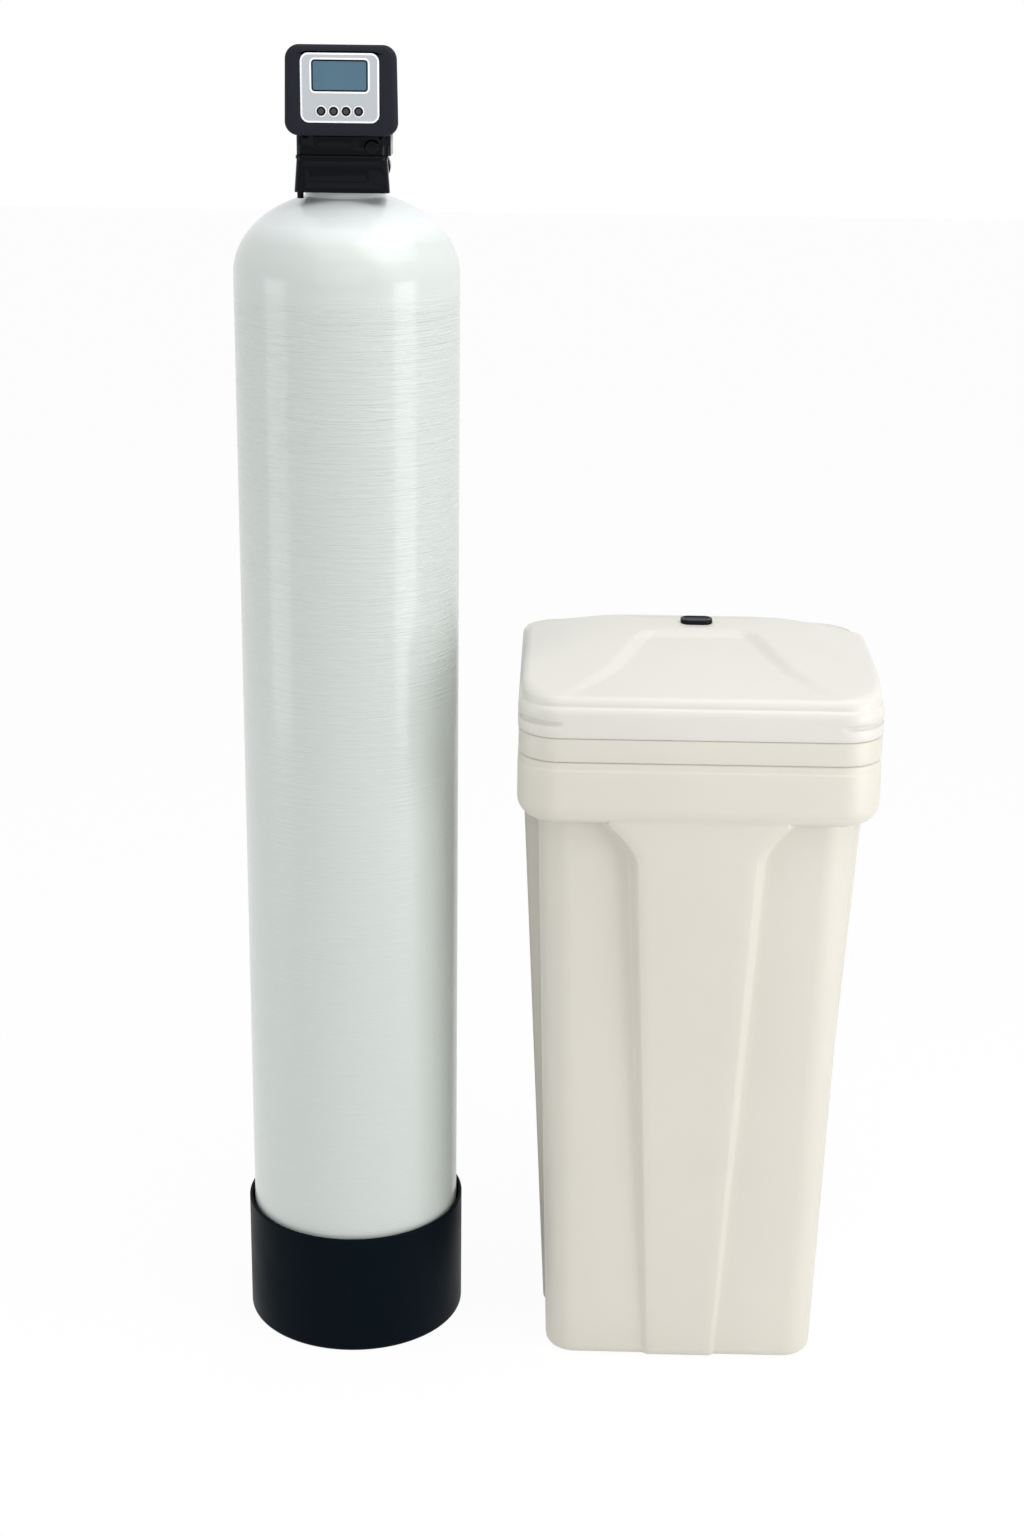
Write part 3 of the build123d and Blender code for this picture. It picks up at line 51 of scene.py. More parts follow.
# Sizes in millimetres, as the CAD model has them
BRINE_X, BRINE_Y = 411.7, 35.6
WALL = 4.5
RIM_HALF, RIM_RADIUS = 209.35, 50.0
BODY_TOP, FLANGE_TOP, COLLAR_TOP = 715.0, 792.6, 820.9
CORNER_HALF, WEDGE_HALF, CORNER_RADIUS = (165.0, 184.5), (169.0, 203.0), (36.0, 40.0)
FOOT_RADIUS = 12.0
FLANGE_FILLET = 23.0
LID_WALL = 3.5
ROOF_INSET = 5.0
CREST_Z = 906.0
HEAD_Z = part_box("head_cover")[0].z / MM
HEAD_HEIGHT = 95.4
HEAD_HALF, HEAD_FOOT_HALF, HEAD_RADIUS = 60.5, 62.3, 15.0
HEAD_FRONT, HEAD_SEAM = -90.0, -52.0
SIDE_DRAFT, TOP_DRAFT = 0.074, 0.037
HEAD_X = 3.0
PANEL_X, PANEL_Z = 2.0, HEAD_Z + 50.4
WINDOW_Z = HEAD_Z + 63.2
BUTTON_Z = HEAD_Z + 26.2
PANEL_FRONT = -90.8
BUTTON_COUNT, BUTTON_PITCH = 4, 13.5
# Half width, half height and corner radius
COVER_HOLE = (42.9, 36.7, 9.4)
PANEL_OUTLINE = (42.5, 36.3, 9.0)
WINDOW_OUTLINE = (30.45, 16.55, 3.75)
GLASS_OUTLINE = (28.8, 14.9, 2.1)

# How finely the round pieces are cut
TANK_SIDES, TANK_INNER_SIDES, BUTTON_SIDES = 160, 96, 40
QUARTER_TURNS = ((1, 0), (0, 1), (-1, 0), (0, -1))


def mix(a, b, share):
    return a + (b - a) * share


def smooth(share):
    share = min(max(share, 0.0), 1.0)
    return share * share * (3 - 2 * share)


# Mesh tools: every shape is a stack of rings with the same number of points
def loft(bm, rings, first_cap=False, last_cap=False, wrap=False):
    """Joins each ring to the next; wrap joins the last ring to the first."""
    rows = [[bm.verts.new(p) for p in ring] for ring in rings]
    pairs = list(zip(rows, rows[1:]))
    if wrap:
        pairs.append((rows[-1], rows[0]))
    count = len(rows[0])
    for low, high in pairs:
        for i in range(count):
            j = (i + 1) % count
            bm.faces.new((low[i], low[j], high[j], high[i]))
    if first_cap:
        bm.faces.new(rows[0])
    if last_cap:
        bm.faces.new(rows[-1])


def piece(name, bm, body, replaced, materials, sharp=38.0):
    """A visible piece from a mesh drawn in millimetres, on its body, in place of its CAD nodes."""
    bmesh.ops.scale(bm, vec=(MM, MM, MM), verts=bm.verts)
    bmesh.ops.recalc_face_normals(bm, faces=bm.faces)
    mesh = bpy.data.meshes.new(name)
    bm.to_mesh(mesh)
    bm.free()
    mesh.shade_smooth()
    mesh.set_sharp_from_angle(angle=math.radians(sharp))
    for material in materials:
        mesh.materials.append(material)
    obj = bpy.data.objects.new(name, mesh)
    scene.collection.objects.link(obj)
    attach(obj, body)
    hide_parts(*replaced)


def round_outline(half_u, half_v, radius, per_side=4, per_corner=8):
    """A rounded rectangle's points, anticlockwise, starting at the left end of its lower side."""
    radius = max(radius, 0.2)
    points = []
    for turn in range(4):
        along, out = (half_u, half_v) if turn % 2 == 0 else (half_v, half_u)
        flat = along - radius
        side = [(mix(-flat, flat, i / per_side), -out) for i in range(per_side + 1)]
        for i in range(1, per_corner):
            a = math.pi / 2 * i / per_corner
            side.append((flat + radius * math.sin(a), -out + radius - radius * math.cos(a)))
        c, s = QUARTER_TURNS[turn]
        points += [(u * c - v * s, u * s + v * c) for u, v in side]
    return points


def circle(radius, count):
    """Points of a circle about the origin of its plane."""
    turns = [2 * math.pi * i / count for i in range(count)]
    return [(radius * math.cos(t), radius * math.sin(t)) for t in turns]


def revolve(profile, count):
    """Rings about the vertical axis: profile gives radius and height."""
    return [[(u, v, z) for u, v in circle(r, count)] for r, z in profile]


def turned_y(profile, count, x, z):
    """Rings about an axis along Y: profile gives radius and y."""
    return [[(x + u, y, z + v) for u, v in circle(r, count)] for r, y in profile]


def arc(centre_a, centre_b, radius, start, end, steps):
    """Points of an arc, angles in degrees."""
    out = []
    for i in range(steps + 1):
        a = math.radians(mix(start, end, i / steps))
        out.append((centre_a + radius * math.cos(a), centre_b + radius * math.sin(a)))
    return out


# Materials
NOISE_LOW, NOISE_HIGH = 0.3, 0.7        # most of a noise texture's values lie between these


class Look:
    """A Principled material with its node tree at hand."""

    def __init__(self, name, color, roughness, specular=0.5, coat=0.0, coat_roughness=0.1, metallic=0.0):
        self.material = bpy.data.materials.new(name)
        self.material.use_nodes = True
        self.tree = self.material.node_tree
        self.shader = self.tree.nodes["Principled BSDF"]
        self.place = self.tree.nodes.new("ShaderNodeTexCoord").outputs["Object"]
        self.set("Base Color", (*color, 1.0))
        self.set("Roughness", roughness)
        self.set("Specular IOR Level", specular)
        self.set("Coat Weight", coat)
        self.set("Coat Roughness", coat_roughness)
        self.set("Metallic", metallic)
        self.normal = None

    def set(self, socket, value):
        self.shader.inputs[socket].default_value = value

    def link(self, a, b):
        self.tree.links.new(a, b)

    def noise(self, scale, detail=3.0, stretch=(1.0, 1.0, 1.0), roughness=0.5):
        mapping = self.tree.nodes.new("ShaderNodeMapping")
        mapping.inputs["Scale"].default_value = stretch
        self.link(self.place, mapping.inputs["Vector"])
        noise = self.tree.nodes.new("ShaderNodeTexNoise")
        noise.inputs["Scale"].default_value = scale
        noise.inputs["Detail"].default_value = detail
        noise.inputs["Roughness"].default_value = roughness
        self.link(mapping.outputs["Vector"], noise.inputs["Vector"])
        return noise.outputs["Fac"]

    def spread(self, value, low, high, to_low, to_high):
        node = self.tree.nodes.new("ShaderNodeMapRange")
        node.interpolation_type = "SMOOTHSTEP"
        for socket, number in zip(("From Min", "From Max", "To Min", "To Max"), (low, high, to_low, to_high)):
            node.inputs[socket].default_value = number
        self.link(value, node.inputs["Value"])
        return node.outputs["Result"]

    def combine(self, operation, a, b):
        node = self.tree.nodes.new("ShaderNodeMath")
        node.operation = operation
        self.link(a, node.inputs[0])
        self.link(b, node.inputs[1])
        return node.outputs["Value"]

    def colours(self, value, dark, light):
        ramp = self.tree.nodes.new("ShaderNodeValToRGB")
        ramp.color_ramp.elements[0].position = NOISE_LOW
        ramp.color_ramp.elements[1].position = NOISE_HIGH
        ramp.color_ramp.elements[0].color = (*dark, 1.0)
        ramp.color_ramp.elements[1].color = (*light, 1.0)
        self.link(value, ramp.inputs["Fac"])
        self.link(ramp.outputs["Color"], self.shader.inputs["Base Color"])

    def rough(self, value, low, high):
        self.link(self.spread(value, NOISE_LOW, NOISE_HIGH, low, high), self.shader.inputs["Roughness"])

    def bump(self, height, distance, strength=1.0):
        node = self.tree.nodes.new("ShaderNodeBump")
        node.inputs["Distance"].default_value = distance
        node.inputs["Strength"].default_value = strength
        self.link(height, node.inputs["Height"])
        if self.normal is not None:
            self.link(self.normal, node.inputs["Normal"])
        self.normal = node.outputs["Normal"]
        self.link(self.normal, self.shader.inputs["Normal"])


def shade(color, factor):
    return tuple(min(c * factor, 1.0) for c in color)


def moulded(name, color, roughness, grain=1400.0, depth=0.00004, patch=9.0, vary=0.035, **more):
    """Moulded plastic or rubber: a faint change of tone over its surface and a fine grain."""
    look = Look(name, color, roughness, **more)
    look.colours(look.noise(patch), shade(color, 1 - vary), shade(color, 1 + vary))
    look.rough(look.noise(patch * 2.3), roughness * 0.92, roughness * 1.08)
    look.bump(look.noise(grain, 2.0), depth)
    return look.material


def metal(name, color, roughness):
    look = Look(name, color, roughness, metallic=1.0)
    look.colours(look.noise(160.0), shade(color, 0.93), shade(color, 1.05))
    look.bump(look.noise(700.0, 2.0, (1.0, 1.0, 8.0)), 0.00002)
    return look.material


def wound_shell():
    """The mineral tank: a glossy resin coat over glass roving wound round it. The dome is lighter, partly from
    the unwound liner's own tone and partly from painted light that lifts the shade under the valve.
    """
    winding_end, winding_fade, dome = (1.285, 1.312), (0.55, 1.25), (1.33, 1.4)     # heights in metres
    look = Look("tank_shell", (0.565, 0.605, 0.58), 0.3, specular=0.4, coat=0.4, coat_roughness=0.12)
    height = look.tree.nodes.new("ShaderNodeSeparateXYZ")
    look.link(look.place, height.inputs["Vector"])
    z = height.outputs["Z"]
    hoop = look.spread(z, *winding_end, 1.0, 0.0)
    fade = look.spread(z, *winding_fade, 0.3, 1.0)
    fine = look.noise(1.0, 4.0, (7.0, 7.0, 640.0), 0.6)
    broad = look.noise(1.0, 3.0, (16.0, 16.0, 210.0), 0.6)
    tone = look.noise(1.0, 2.0, (26.0, 26.0, 1.1))
    # Painted light: above the dome heights the colour rises to the lighter end. This is partly the liner's own
    # tone and partly painted light against the valve's shade.
    tone_and_painted_dome_light = look.combine("MAXIMUM", look.spread(tone, 0.0, 1.0, 0.0, 0.18), look.spread(z, *dome, 0.0, 1.0))
    look.colours(tone_and_painted_dome_light, (0.55, 0.59, 0.565), (0.675, 0.706, 0.708))
    for strands, distance, strength in ((fine, 0.0013, 0.85), (broad, 0.0034, 0.52)):
        wound = look.combine("MULTIPLY", strands, hoop)
        look.bump(look.combine("MULTIPLY", wound, fade), distance, strength)
    look.bump(look.noise(14.0, 2.0), 0.001, 0.25)
    return look.material


def window_glass():
    look = Look("display_glass", (0.75, 0.86, 0.9), 0.06, specular=0.3)
    look.set("Transmission Weight", 0.9)
    look.set("IOR", 1.45)
    look.bump(look.noise(60.0, 2.0), 0.00001)
    return look.material


LOOKS = {
    "tank_shell": wound_shell(),
    "boot_black": moulded("boot_black", (0.0018, 0.0047, 0.0078), 0.42, 900.0, 0.00006, specular=0.03),
    "head_charcoal": moulded("head_charcoal", (0.017, 0.018, 0.0245), 0.5, 1800.0, specular=0.06),
    "panel_grey": moulded("panel_grey", (0.44, 0.47, 0.492), 0.4, 2200.0, 0.00002, vary=0.02),
    "panel_trim": moulded("panel_trim", (0.86, 0.87, 0.88), 0.3, 2200.0, 0.00001, vary=0.01),
    "display_face": moulded("display_face", (0.078, 0.148, 0.205), 0.35, 2600.0, 0.00001, 30.0, vary=0.03,
                            specular=0.15),
    "display_frame": moulded("display_frame", (0.003, 0.005, 0.008), 0.35, 2200.0, 0.00001, specular=0.08),
    "display_glass": window_glass(),
    "button_black": moulded("button_black", (0.004, 0.004, 0.005), 0.4, 1600.0, specular=0.08),
    "button_face": moulded("button_face", (0.06, 0.06, 0.068), 0.5, 1600.0, specular=0.12),
    "valve_black": moulded("valve_black", (0.0016, 0.0028, 0.0046), 0.14, 500.0, 0.00003, specular=0.09),
    "black_plastic": moulded("black_plastic", (0.012, 0.0125, 0.014), 0.4),
    "seal_rubber": moulded("seal_rubber", (0.01, 0.01, 0.01), 0.65),
    "white_plastic": moulded("white_plastic", (0.72, 0.72, 0.69), 0.42),
    "resin_beads": moulded("resin_beads", (0.4, 0.19, 0.05), 0.4, 700.0, 0.0004, 300.0, vary=0.25),
    "brass_fitting": metal("brass_fitting", (0.62, 0.42, 0.16), 0.3),
    "ceramic": moulded("ceramic", (0.8, 0.77, 0.7), 0.15),
    "steel_screw": metal("steel_screw", (0.55, 0.55, 0.55), 0.3),
    "motor_steel": metal("motor_steel", (0.5, 0.5, 0.51), 0.35),
    "board_green": moulded("board_green", (0.02, 0.12, 0.05), 0.35, 300.0),
    "brine_beige": moulded("brine_beige", (0.615, 0.59, 0.522), 0.44, 1100.0, 0.00005, 5.0, vary=0.018),
    "lid_cream": moulded("lid_cream", (0.635, 0.62, 0.57), 0.4, 1100.0, 0.00005, 5.0, vary=0.015),
    "grip_black": moulded("grip_black", (0.004, 0.005, 0.007), 0.38, 1500.0, specular=0.1),
}


# Mineral tank
def tank_skin():
    """The mineral tank's outside, with the bore of its neck and the wall's inner side below it."""
    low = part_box("pressure_tank")[0].z / MM
    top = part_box("pressure_tank")[1].z / MM
    radius, wall, neck, mouth = 128.5, 5.0, 46.25, 41.4
    shoulder, dome, bottom, flat = 1316.0, 92.0, 62.0, 34.0
    bend_steps, side_steps = 24, 12
    heel = low + bottom * math.sqrt(1 - (flat / radius) ** 2)

    def shell(inset):
        """The tank's outline from the neck's foot down to the flat under it, moved in by inset."""
        points = []
        for i in range(bend_steps + 1):
            r = mix(neck, radius - inset, math.sin(math.pi / 2 * i / bend_steps))
            share = min(r / (radius - inset), 1.0)
            points.append((r, shoulder + (dome - inset) * math.sqrt(1 - share ** 2)))
        for i in range(1, side_steps):
            points.append((radius - inset, mix(shoulder, heel, i / side_steps)))
        for i in range(bend_steps + 1):
            r = mix(radius - inset, flat, 1 - math.cos(math.pi / 2 * i / bend_steps))
            share = min(r / (radius - inset), 1.0)
            points.append((r, heel - (bottom - inset) * math.sqrt(1 - share ** 2)))
        return points

    outer = shell(0.0)
    inner = shell(wall)
    neck_foot = outer[0][1]
    rim = [(mouth, top), (neck - 0.8, top), (neck - 0.2, top - 0.3), (neck, top - 0.9)]
    rim += [(neck, neck_foot + 1.4), (neck + 0.4, neck_foot + 0.5)]
    bm = bmesh.new()
    loft(bm, revolve(rim + outer[1:], TANK_SIDES), last_cap=True)
    loft(bm, revolve([(mouth, top), (mouth, inner[0][1])] + inner[1:], TANK_INNER_SIDES), last_cap=True)
    piece("tank_shell_skin", bm, "root", ["pressure_tank"], [LOOKS["tank_shell"]], 50.0)


def boot_skin():
    """The open black cup that the mineral tank stands in."""
    radius, height, wall, edge = 135.3, 156.6, 4.0, 6.0
    rim_out, rim_in, floor, cap = 1.6, 1.2, 5.0, 20.0
    profile = [(cap, 0.0), (radius - edge, 0.0)]
    profile += arc(radius - edge, edge, edge, -90, 0, 6)[1:]
    profile += [(radius, 40.0), (radius, 90.0), (radius, height - 2.4)]
    profile += arc(radius - rim_out, height - rim_out, rim_out, 0, 90, 4)
    profile += arc(radius - wall + rim_in, height - rim_in, rim_in, 90, 180, 3)
    profile += [(radius - wall, height - 9.0), (radius - wall, 60.0), (radius - wall, floor), (cap, floor)]
    bm = bmesh.new()
    loft(bm, revolve(profile, TANK_SIDES), first_cap=True, last_cap=True)
    piece("boot_skin", bm, "root", ["tank_boot"], [LOOKS["boot_black"]])


# Brine tank: a raised panel on each side widens to its neck and flares from there up to the flange
WEDGE_FOOT_HALF, WEDGE_NECK_HALF, WEDGE_NECK_Z = 41.5, 74.0, 668.0
WEDGE_FLARE, WEDGE_FLARE_HEIGHT, WEDGE_FLARE_POWER = 34.0, 47.0, 1.6
FLARE_LEVELS = (673.0, 678.0, 683.0, 688.0, 693.0, 697.0, 701.0, 704.5, 708.0, 711.0, 713.0)
FIRST_LEVEL, LEVEL_COUNT = 40.0, 16
FLANGE_REACH = 31.5
# Half width of the slope beside a panel, and the share of the panel's rise that adds to it
SLOPE_HALF, SLOPE_SHARE = 3.4, 0.17
SLOPE_STEPS, BODY_CORNER_STEPS, FOOT_STEPS, KNEE_STEPS, INNER_KNEE_STEPS = 8, 8, 6, 10, 6
# Inset, and depth below the flange's top
FLANGE_LIP = ((0.0, 11.4), (0.2, 10.4), (0.9, 9.4), (1.5, 8.6), (1.6, 7.4), (1.6, 3.4), (1.9, 1.7), (2.7, 0.6),
              (3.6, 0.1))


def wedge_half_width(z):
    if z <= WEDGE_NECK_Z:
        return mix(WEDGE_FOOT_HALF, WEDGE_NECK_HALF, z / WEDGE_NECK_Z)
    flare = min((z - WEDGE_NECK_Z) / WEDGE_FLARE_HEIGHT, 1.0)
    return WEDGE_NECK_HALF + WEDGE_FLARE * flare ** WEDGE_FLARE_POWER


def body_ring(z, inset, rise=0.0):
    """One level of the tank's body; rise lifts the wedge panels' top under the flange."""
    share = min(max(z / BODY_TOP, 0.0), 1.0)
    corner = mix(*CORNER_HALF, share) - inset
    wedge = mix(*WEDGE_HALF, share) - inset
    radius = max(mix(*CORNER_RADIUS, share) - inset, 4.0)
    half = wedge_half_width(z)
    edge = SLOPE_HALF + SLOPE_SHARE * (wedge - corner)
    flat = corner - radius
    right = [0.0, (half - edge) * 0.4, (half - edge) * 0.8]
    right += [half - edge + 2 * edge * i / SLOPE_STEPS for i in range(SLOPE_STEPS + 1)]
    right += [mix(half + edge, flat, 0.12), mix(half + edge, flat, 0.5), flat]
    places = [-t for t in reversed(right[1:])] + right
    points = []
    for turn in range(4):
        side = []
        for t in places:
            share_up = smooth((half + edge - abs(t)) / (2 * edge))
            side.append((t, -(corner + (wedge - corner) * share_up), z + rise * share_up))
        for i in range(1, BODY_CORNER_STEPS):
            a = math.pi / 2 * i / BODY_CORNER_STEPS
            side.append((flat + radius * math.sin(a), -flat - radius * math.cos(a), z))
        c, s = QUARTER_TURNS[turn]
        points += [(BRINE_X + u * c - v * s, BRINE_Y + u * s + v * c, h) for u, v, h in side]
    return points


def rim_ring(inset, z):
    """A ring of the brine tank's square rim, moved in by inset."""
    outline = round_outline(RIM_HALF - inset, RIM_HALF - inset, RIM_RADIUS - inset, 8, 12)
    return [(BRINE_X + u, BRINE_Y + v, z) for u, v in outline]


def joined(first, second):
    """The union of two meshes in bmesh form, made with the Boolean modifier."""
    made = []
    for bm in (first, second):
        bmesh.ops.recalc_face_normals(bm, faces=bm.faces)
        mesh = bpy.data.meshes.new("part_of_union")
        bm.to_mesh(mesh)
        bm.free()
        obj = bpy.data.objects.new("part_of_union", mesh)
        scene.collection.objects.link(obj)
        made.append(obj)
    union = made[0].modifiers.new("union", "BOOLEAN")
    union.operation = "UNION"
    union.solver = "EXACT"
    union.object = made[1]
    bpy.context.view_layer.update()
    evaluated = made[0].evaluated_get(bpy.context.evaluated_depsgraph_get())
    result = bmesh.new()
    result.from_mesh(evaluated.to_mesh())
    evaluated.to_mesh_clear()
    for obj in made:
        mesh = obj.data
        bpy.data.objects.remove(obj)
        bpy.data.meshes.remove(mesh)
    return result


def brine_body():
    """The tapered tank with its rounded foot, united with the wider flange at its top."""
    body = bmesh.new()
    outer = []
    for i in range(FOOT_STEPS + 1):
        a = math.pi / 2 * (1 - i / FOOT_STEPS)
        outer.append(body_ring(FOOT_RADIUS * (1 - math.cos(math.pi / 2 - a)), FOOT_RADIUS * (1 - math.cos(a))))
    rise = WEDGE_NECK_Z - FIRST_LEVEL
    levels = [FIRST_LEVEL + rise * i / (LEVEL_COUNT - 1) for i in range(LEVEL_COUNT)] + list(FLARE_LEVELS)
    tuck, lift = 2.5, 6.0
    outer += [body_ring(z, 0.0) for z in levels]
    outer += [body_ring(BODY_TOP, 0.0, 0.5), body_ring(BODY_TOP + tuck, 0.0, lift)]
    inner = [body_ring(BODY_TOP + tuck, WALL, lift), body_ring(BODY_TOP - 4.0, WALL)]
    inner += [body_ring(z, WALL) for z in reversed(levels[:-3:2])]
    inner += [body_ring(FOOT_RADIUS, WALL), body_ring(WALL, WALL + 5.0)]
    loft(body, outer + inner, first_cap=True, last_cap=True)
    knee = FLANGE_FILLET
    small = knee - WALL
    profile = [(FLANGE_REACH, BODY_TOP)]
    profile += [(knee - knee * math.sin(a), BODY_TOP + knee - knee * math.cos(a))
                for a in (math.pi / 2 * i / KNEE_STEPS for i in range(KNEE_STEPS + 1))]
    profile += [(0.0, 750.0), (0.0, 770.0)]
    profile += [(inset, FLANGE_TOP - depth) for inset, depth in FLANGE_LIP]
    profile += [(WALL, FLANGE_TOP), (WALL + 0.01, 760.0), (WALL + 0.01, BODY_TOP + knee)]
    profile += [(knee - small * math.sin(a), BODY_TOP + knee - small * math.cos(a))
                for a in (math.pi / 2 * (1 - i / INNER_KNEE_STEPS) for i in range(1, INNER_KNEE_STEPS + 1))]
    profile += [(FLANGE_REACH, BODY_TOP + WALL)]
    flange = bmesh.new()
    loft(flange, [rim_ring(inset, z) for inset, z in profile], wrap=True)
    bm = joined(body, flange)
    piece("brine_tank_skin", bm, "root", ["brine_tank"], [LOOKS["brine_beige"]], 42.0)


def collar():
    """The band between the tank's flange and the lid, with a tongue that reaches down into the tank."""
    low, high = FLANGE_TOP, COLLAR_TOP
    tongue = low - 11.0
    profile = [(5.0, low), (3.0, low), (1.7, low + 0.4), (1.0, low + 1.3), (0.8, low + 2.6)]
    profile += [(0.8, mix(low, high, 0.5)), (0.8, high - 2.6), (1.0, high - 1.3), (1.7, high - 0.4)]
    profile += [(3.0, high), (8.0, high), (8.0, tongue), (5.0, tongue)]
    bm = bmesh.new()
    loft(bm, [rim_ring(inset, z) for inset, z in profile], wrap=True)
    piece("rim_collar_skin", bm, "root", ["rim_collar"], [LOOKS["brine_beige"]])


# Lid. The roof arches from the crest to front and rear, and sinks towards both sides
FRONT_ARCH, REAR_ARCH = (0.0938, 0.00046), (0.1628, 0.000336)
SINK_FROM, SINK_SPAN, SINK_DROP, SINK_POWER = 70.0, 120.0, 16.0, 1.7
RIDGE_BLEND, REAR_BLEND = 5.0, 60.0
# A recess with a sloping floor lies in the roof's front and rear
FRONT_FALL, REAR_FALL = 0.1643, 0.244
RECESS_FLOOR_Z, RECESS_FLOOR_START = 895.8, 33.0
RECESS_SIDE_START, RECESS_SIDE_REACH = 2.0, 14.0
RECESS_CREST_START, RECESS_CREST_REACH = 24.0, 16.0
CORNER_SAG, SAG_BACK, SAG_SIDE = 7.5, (20.0, 130.0), (80.0, 100.0)
LID_SIDE_POINTS, LID_CORNER_POINTS = 88, 12
ROOF_STEPS, UNDER_STEPS = 84, 40
EAVE_Z, EAVE_RADIUS = 858.4, 9.0
EAVE_STEPS = (EAVE_RADIUS, 7.3, 5.6, 4.2, 3.0, 2.0, 1.2, 0.5, 0.1)
# Inset and height of the bead under the eave; depth of the grip grooves at their heights; the skirt's foot
EAVE_BEAD = ((5.0, 858.2), (4.9, 857.6), (4.4, 856.9), (3.6, 856.3), (2.7, 855.6), (1.8, 854.5), (1.0, 852.9),
             (0.4, 850.8), (0.1, 848.6), (0.0, 846.0))
BEAD_FOOT_Z, BEAD_HEIGHT = 842.0, 16.4
GROOVE_START, GROOVE_REACH = 158.0, 5.0
GROOVES = ((842.0, 0.0), (841.0, 0.5), (840.2, 2.4), (839.0, 3.0), (836.4, 3.0), (835.4, 2.4), (834.8, 0.6),
           (834.2, 0.0))
SKIRT_FOOT = ((0.0, 828.0), (0.0, 823.6), (0.3, 822.2), (1.2, 821.2), (2.4, 820.9), (LID_WALL, 820.9),
              (LID_WALL + 0.01, 838.0), (LID_WALL + 0.01, 851.0))
ROOF_GAP, CEILING_LOW_Z = 0.4, 842.0
RAMP_SOFTNESS = 0.35
# Half width of the recess at distances from the crest
RECESS_EDGE = ((22.0, 56.0), (49.0, 74.0), (90.0, 89.0), (128.0, 105.0), (153.0, 122.0), (173.0, 137.0),
               (190.0, 153.0), (210.0, 175.0))


def recess_half(depth):
    """Half width of the recess at this distance from the crest."""
    if depth <= RECESS_EDGE[0][0]:
        return RECESS_EDGE[0][1]
    for (y0, x0), (y1, x1) in zip(RECESS_EDGE, RECESS_EDGE[1:]):
        if depth <= y1:
            return mix(x0, x1, (depth - y0) / (y1 - y0))
    return RECESS_EDGE[-1][1]


def ramp(share):
    """A straight rise from 0 to 1 with softened ends."""
    share = min(max(share, 0.0), 1.0)
    return mix(share, smooth(share), RAMP_SOFTNESS)


def soft_min(a, b, reach):
    """The lower of two heights, blended where they are close."""
    share = min(max(0.5 + (b - a) / (2 * reach), 0.0), 1.0)
    return mix(b, a, share) - reach * share * (1 - share)


def roof_height(x, y):
    """Height of the lid's top, from its middle."""
    across, deep = abs(x), abs(y)
    front = y < 0
    tilt, bow = FRONT_ARCH if front else REAR_ARCH
    fall = FRONT_FALL if front else REAR_FALL
    arch = CREST_Z - tilt * deep - bow * deep ** 2
    sink = SINK_DROP * (max(across - SINK_FROM, 0.0) / SINK_SPAN) ** SINK_POWER
    roof = soft_min(arch, CREST_Z - sink, RIDGE_BLEND)
    if not front:
        roof = mix(roof, arch - sink, smooth(deep / REAR_BLEND))
    floor = RECESS_FLOOR_Z - fall * (deep - RECESS_FLOOR_START)
    side_wall = ramp((recess_half(deep) - across + RECESS_SIDE_START) / RECESS_SIDE_REACH)
    crest_wall = ramp((deep - RECESS_CREST_START) / RECESS_CREST_REACH)
    return mix(roof, min(floor, roof), side_wall * crest_wall)


def sag(u, v):
    """How much lower the roof's edge lies at the two rear corners."""
    back = smooth((v - SAG_BACK[0]) / SAG_BACK[1])
    return CORNER_SAG * back * smooth((abs(u) - SAG_SIDE[0]) / SAG_SIDE[1])


def lid_ring(half, radius, z):
    """A ring of the lid about its own middle; z is a height, or gives one for each point."""
    outline = round_outline(half, half, radius, LID_SIDE_POINTS, LID_CORNER_POINTS)
    if callable(z):
        return [(u, v, z(u, v)) for u, v in outline]
    return [(u, v, z) for u, v in outline]


def notch_ring(z, depth):
    """A ring of the skirt, sunk round the corners where the grip grooves are."""
    ring = []
    for u, v, h in lid_ring(RIM_HALF, RIM_RADIUS, z):
        sink = depth * smooth((min(abs(u), abs(v)) - GROOVE_START) / GROOVE_REACH)
        scale = 1 - sink / math.hypot(u, v)
        ring.append((u * scale, v * scale, h))
    return ring


def lid():
    """From the roof's middle out to the eave, down the skirt, and back in under the roof."""
    top_half = RIM_HALF - ROOF_INSET
    top_radius = RIM_RADIUS - ROOF_INSET
    distances = [top_half * (1 - i / ROOF_STEPS) for i in range(1, ROOF_STEPS - 3)] + list(EAVE_STEPS)
    rings = []
    for d in distances:
        share = (top_half - d) / top_half
        drop = EAVE_RADIUS - math.sqrt(EAVE_RADIUS ** 2 - max(EAVE_RADIUS - d, 0.0) ** 2)
        height = lambda u, v: max(roof_height(u, v) - drop, EAVE_Z - sag(u, v))
        rings.append(lid_ring(top_half * share, top_radius * share, height))
    for inset, z in EAVE_BEAD:
        height = lambda u, v: z - sag(u, v) * (z - BEAD_FOOT_Z) / BEAD_HEIGHT
        rings.append(lid_ring(RIM_HALF - inset, RIM_RADIUS - inset, height))
    rings += [notch_ring(z, depth) for z, depth in GROOVES]
    rings += [lid_ring(RIM_HALF - inset, RIM_RADIUS - inset, z) for inset, z in SKIRT_FOOT]
    under_half = top_half - LID_WALL
    for i in range(UNDER_STEPS - 2):
        share = (under_half - under_half * i / UNDER_STEPS) / under_half
        height = lambda u, v: max(roof_height(u, v) - LID_WALL - ROOF_GAP, CEILING_LOW_Z)
        rings.append(lid_ring(under_half * share, (top_radius - LID_WALL) * share, height))
    bm = bmesh.new()
    loft(bm, rings, first_cap=True, last_cap=True)
    bmesh.ops.translate(bm, vec=(BRINE_X, BRINE_Y, 0.0), verts=bm.verts)
    piece("lid_skin", bm, "lid", ["brine_lid"], [LOOKS["lid_cream"]], 55.0)


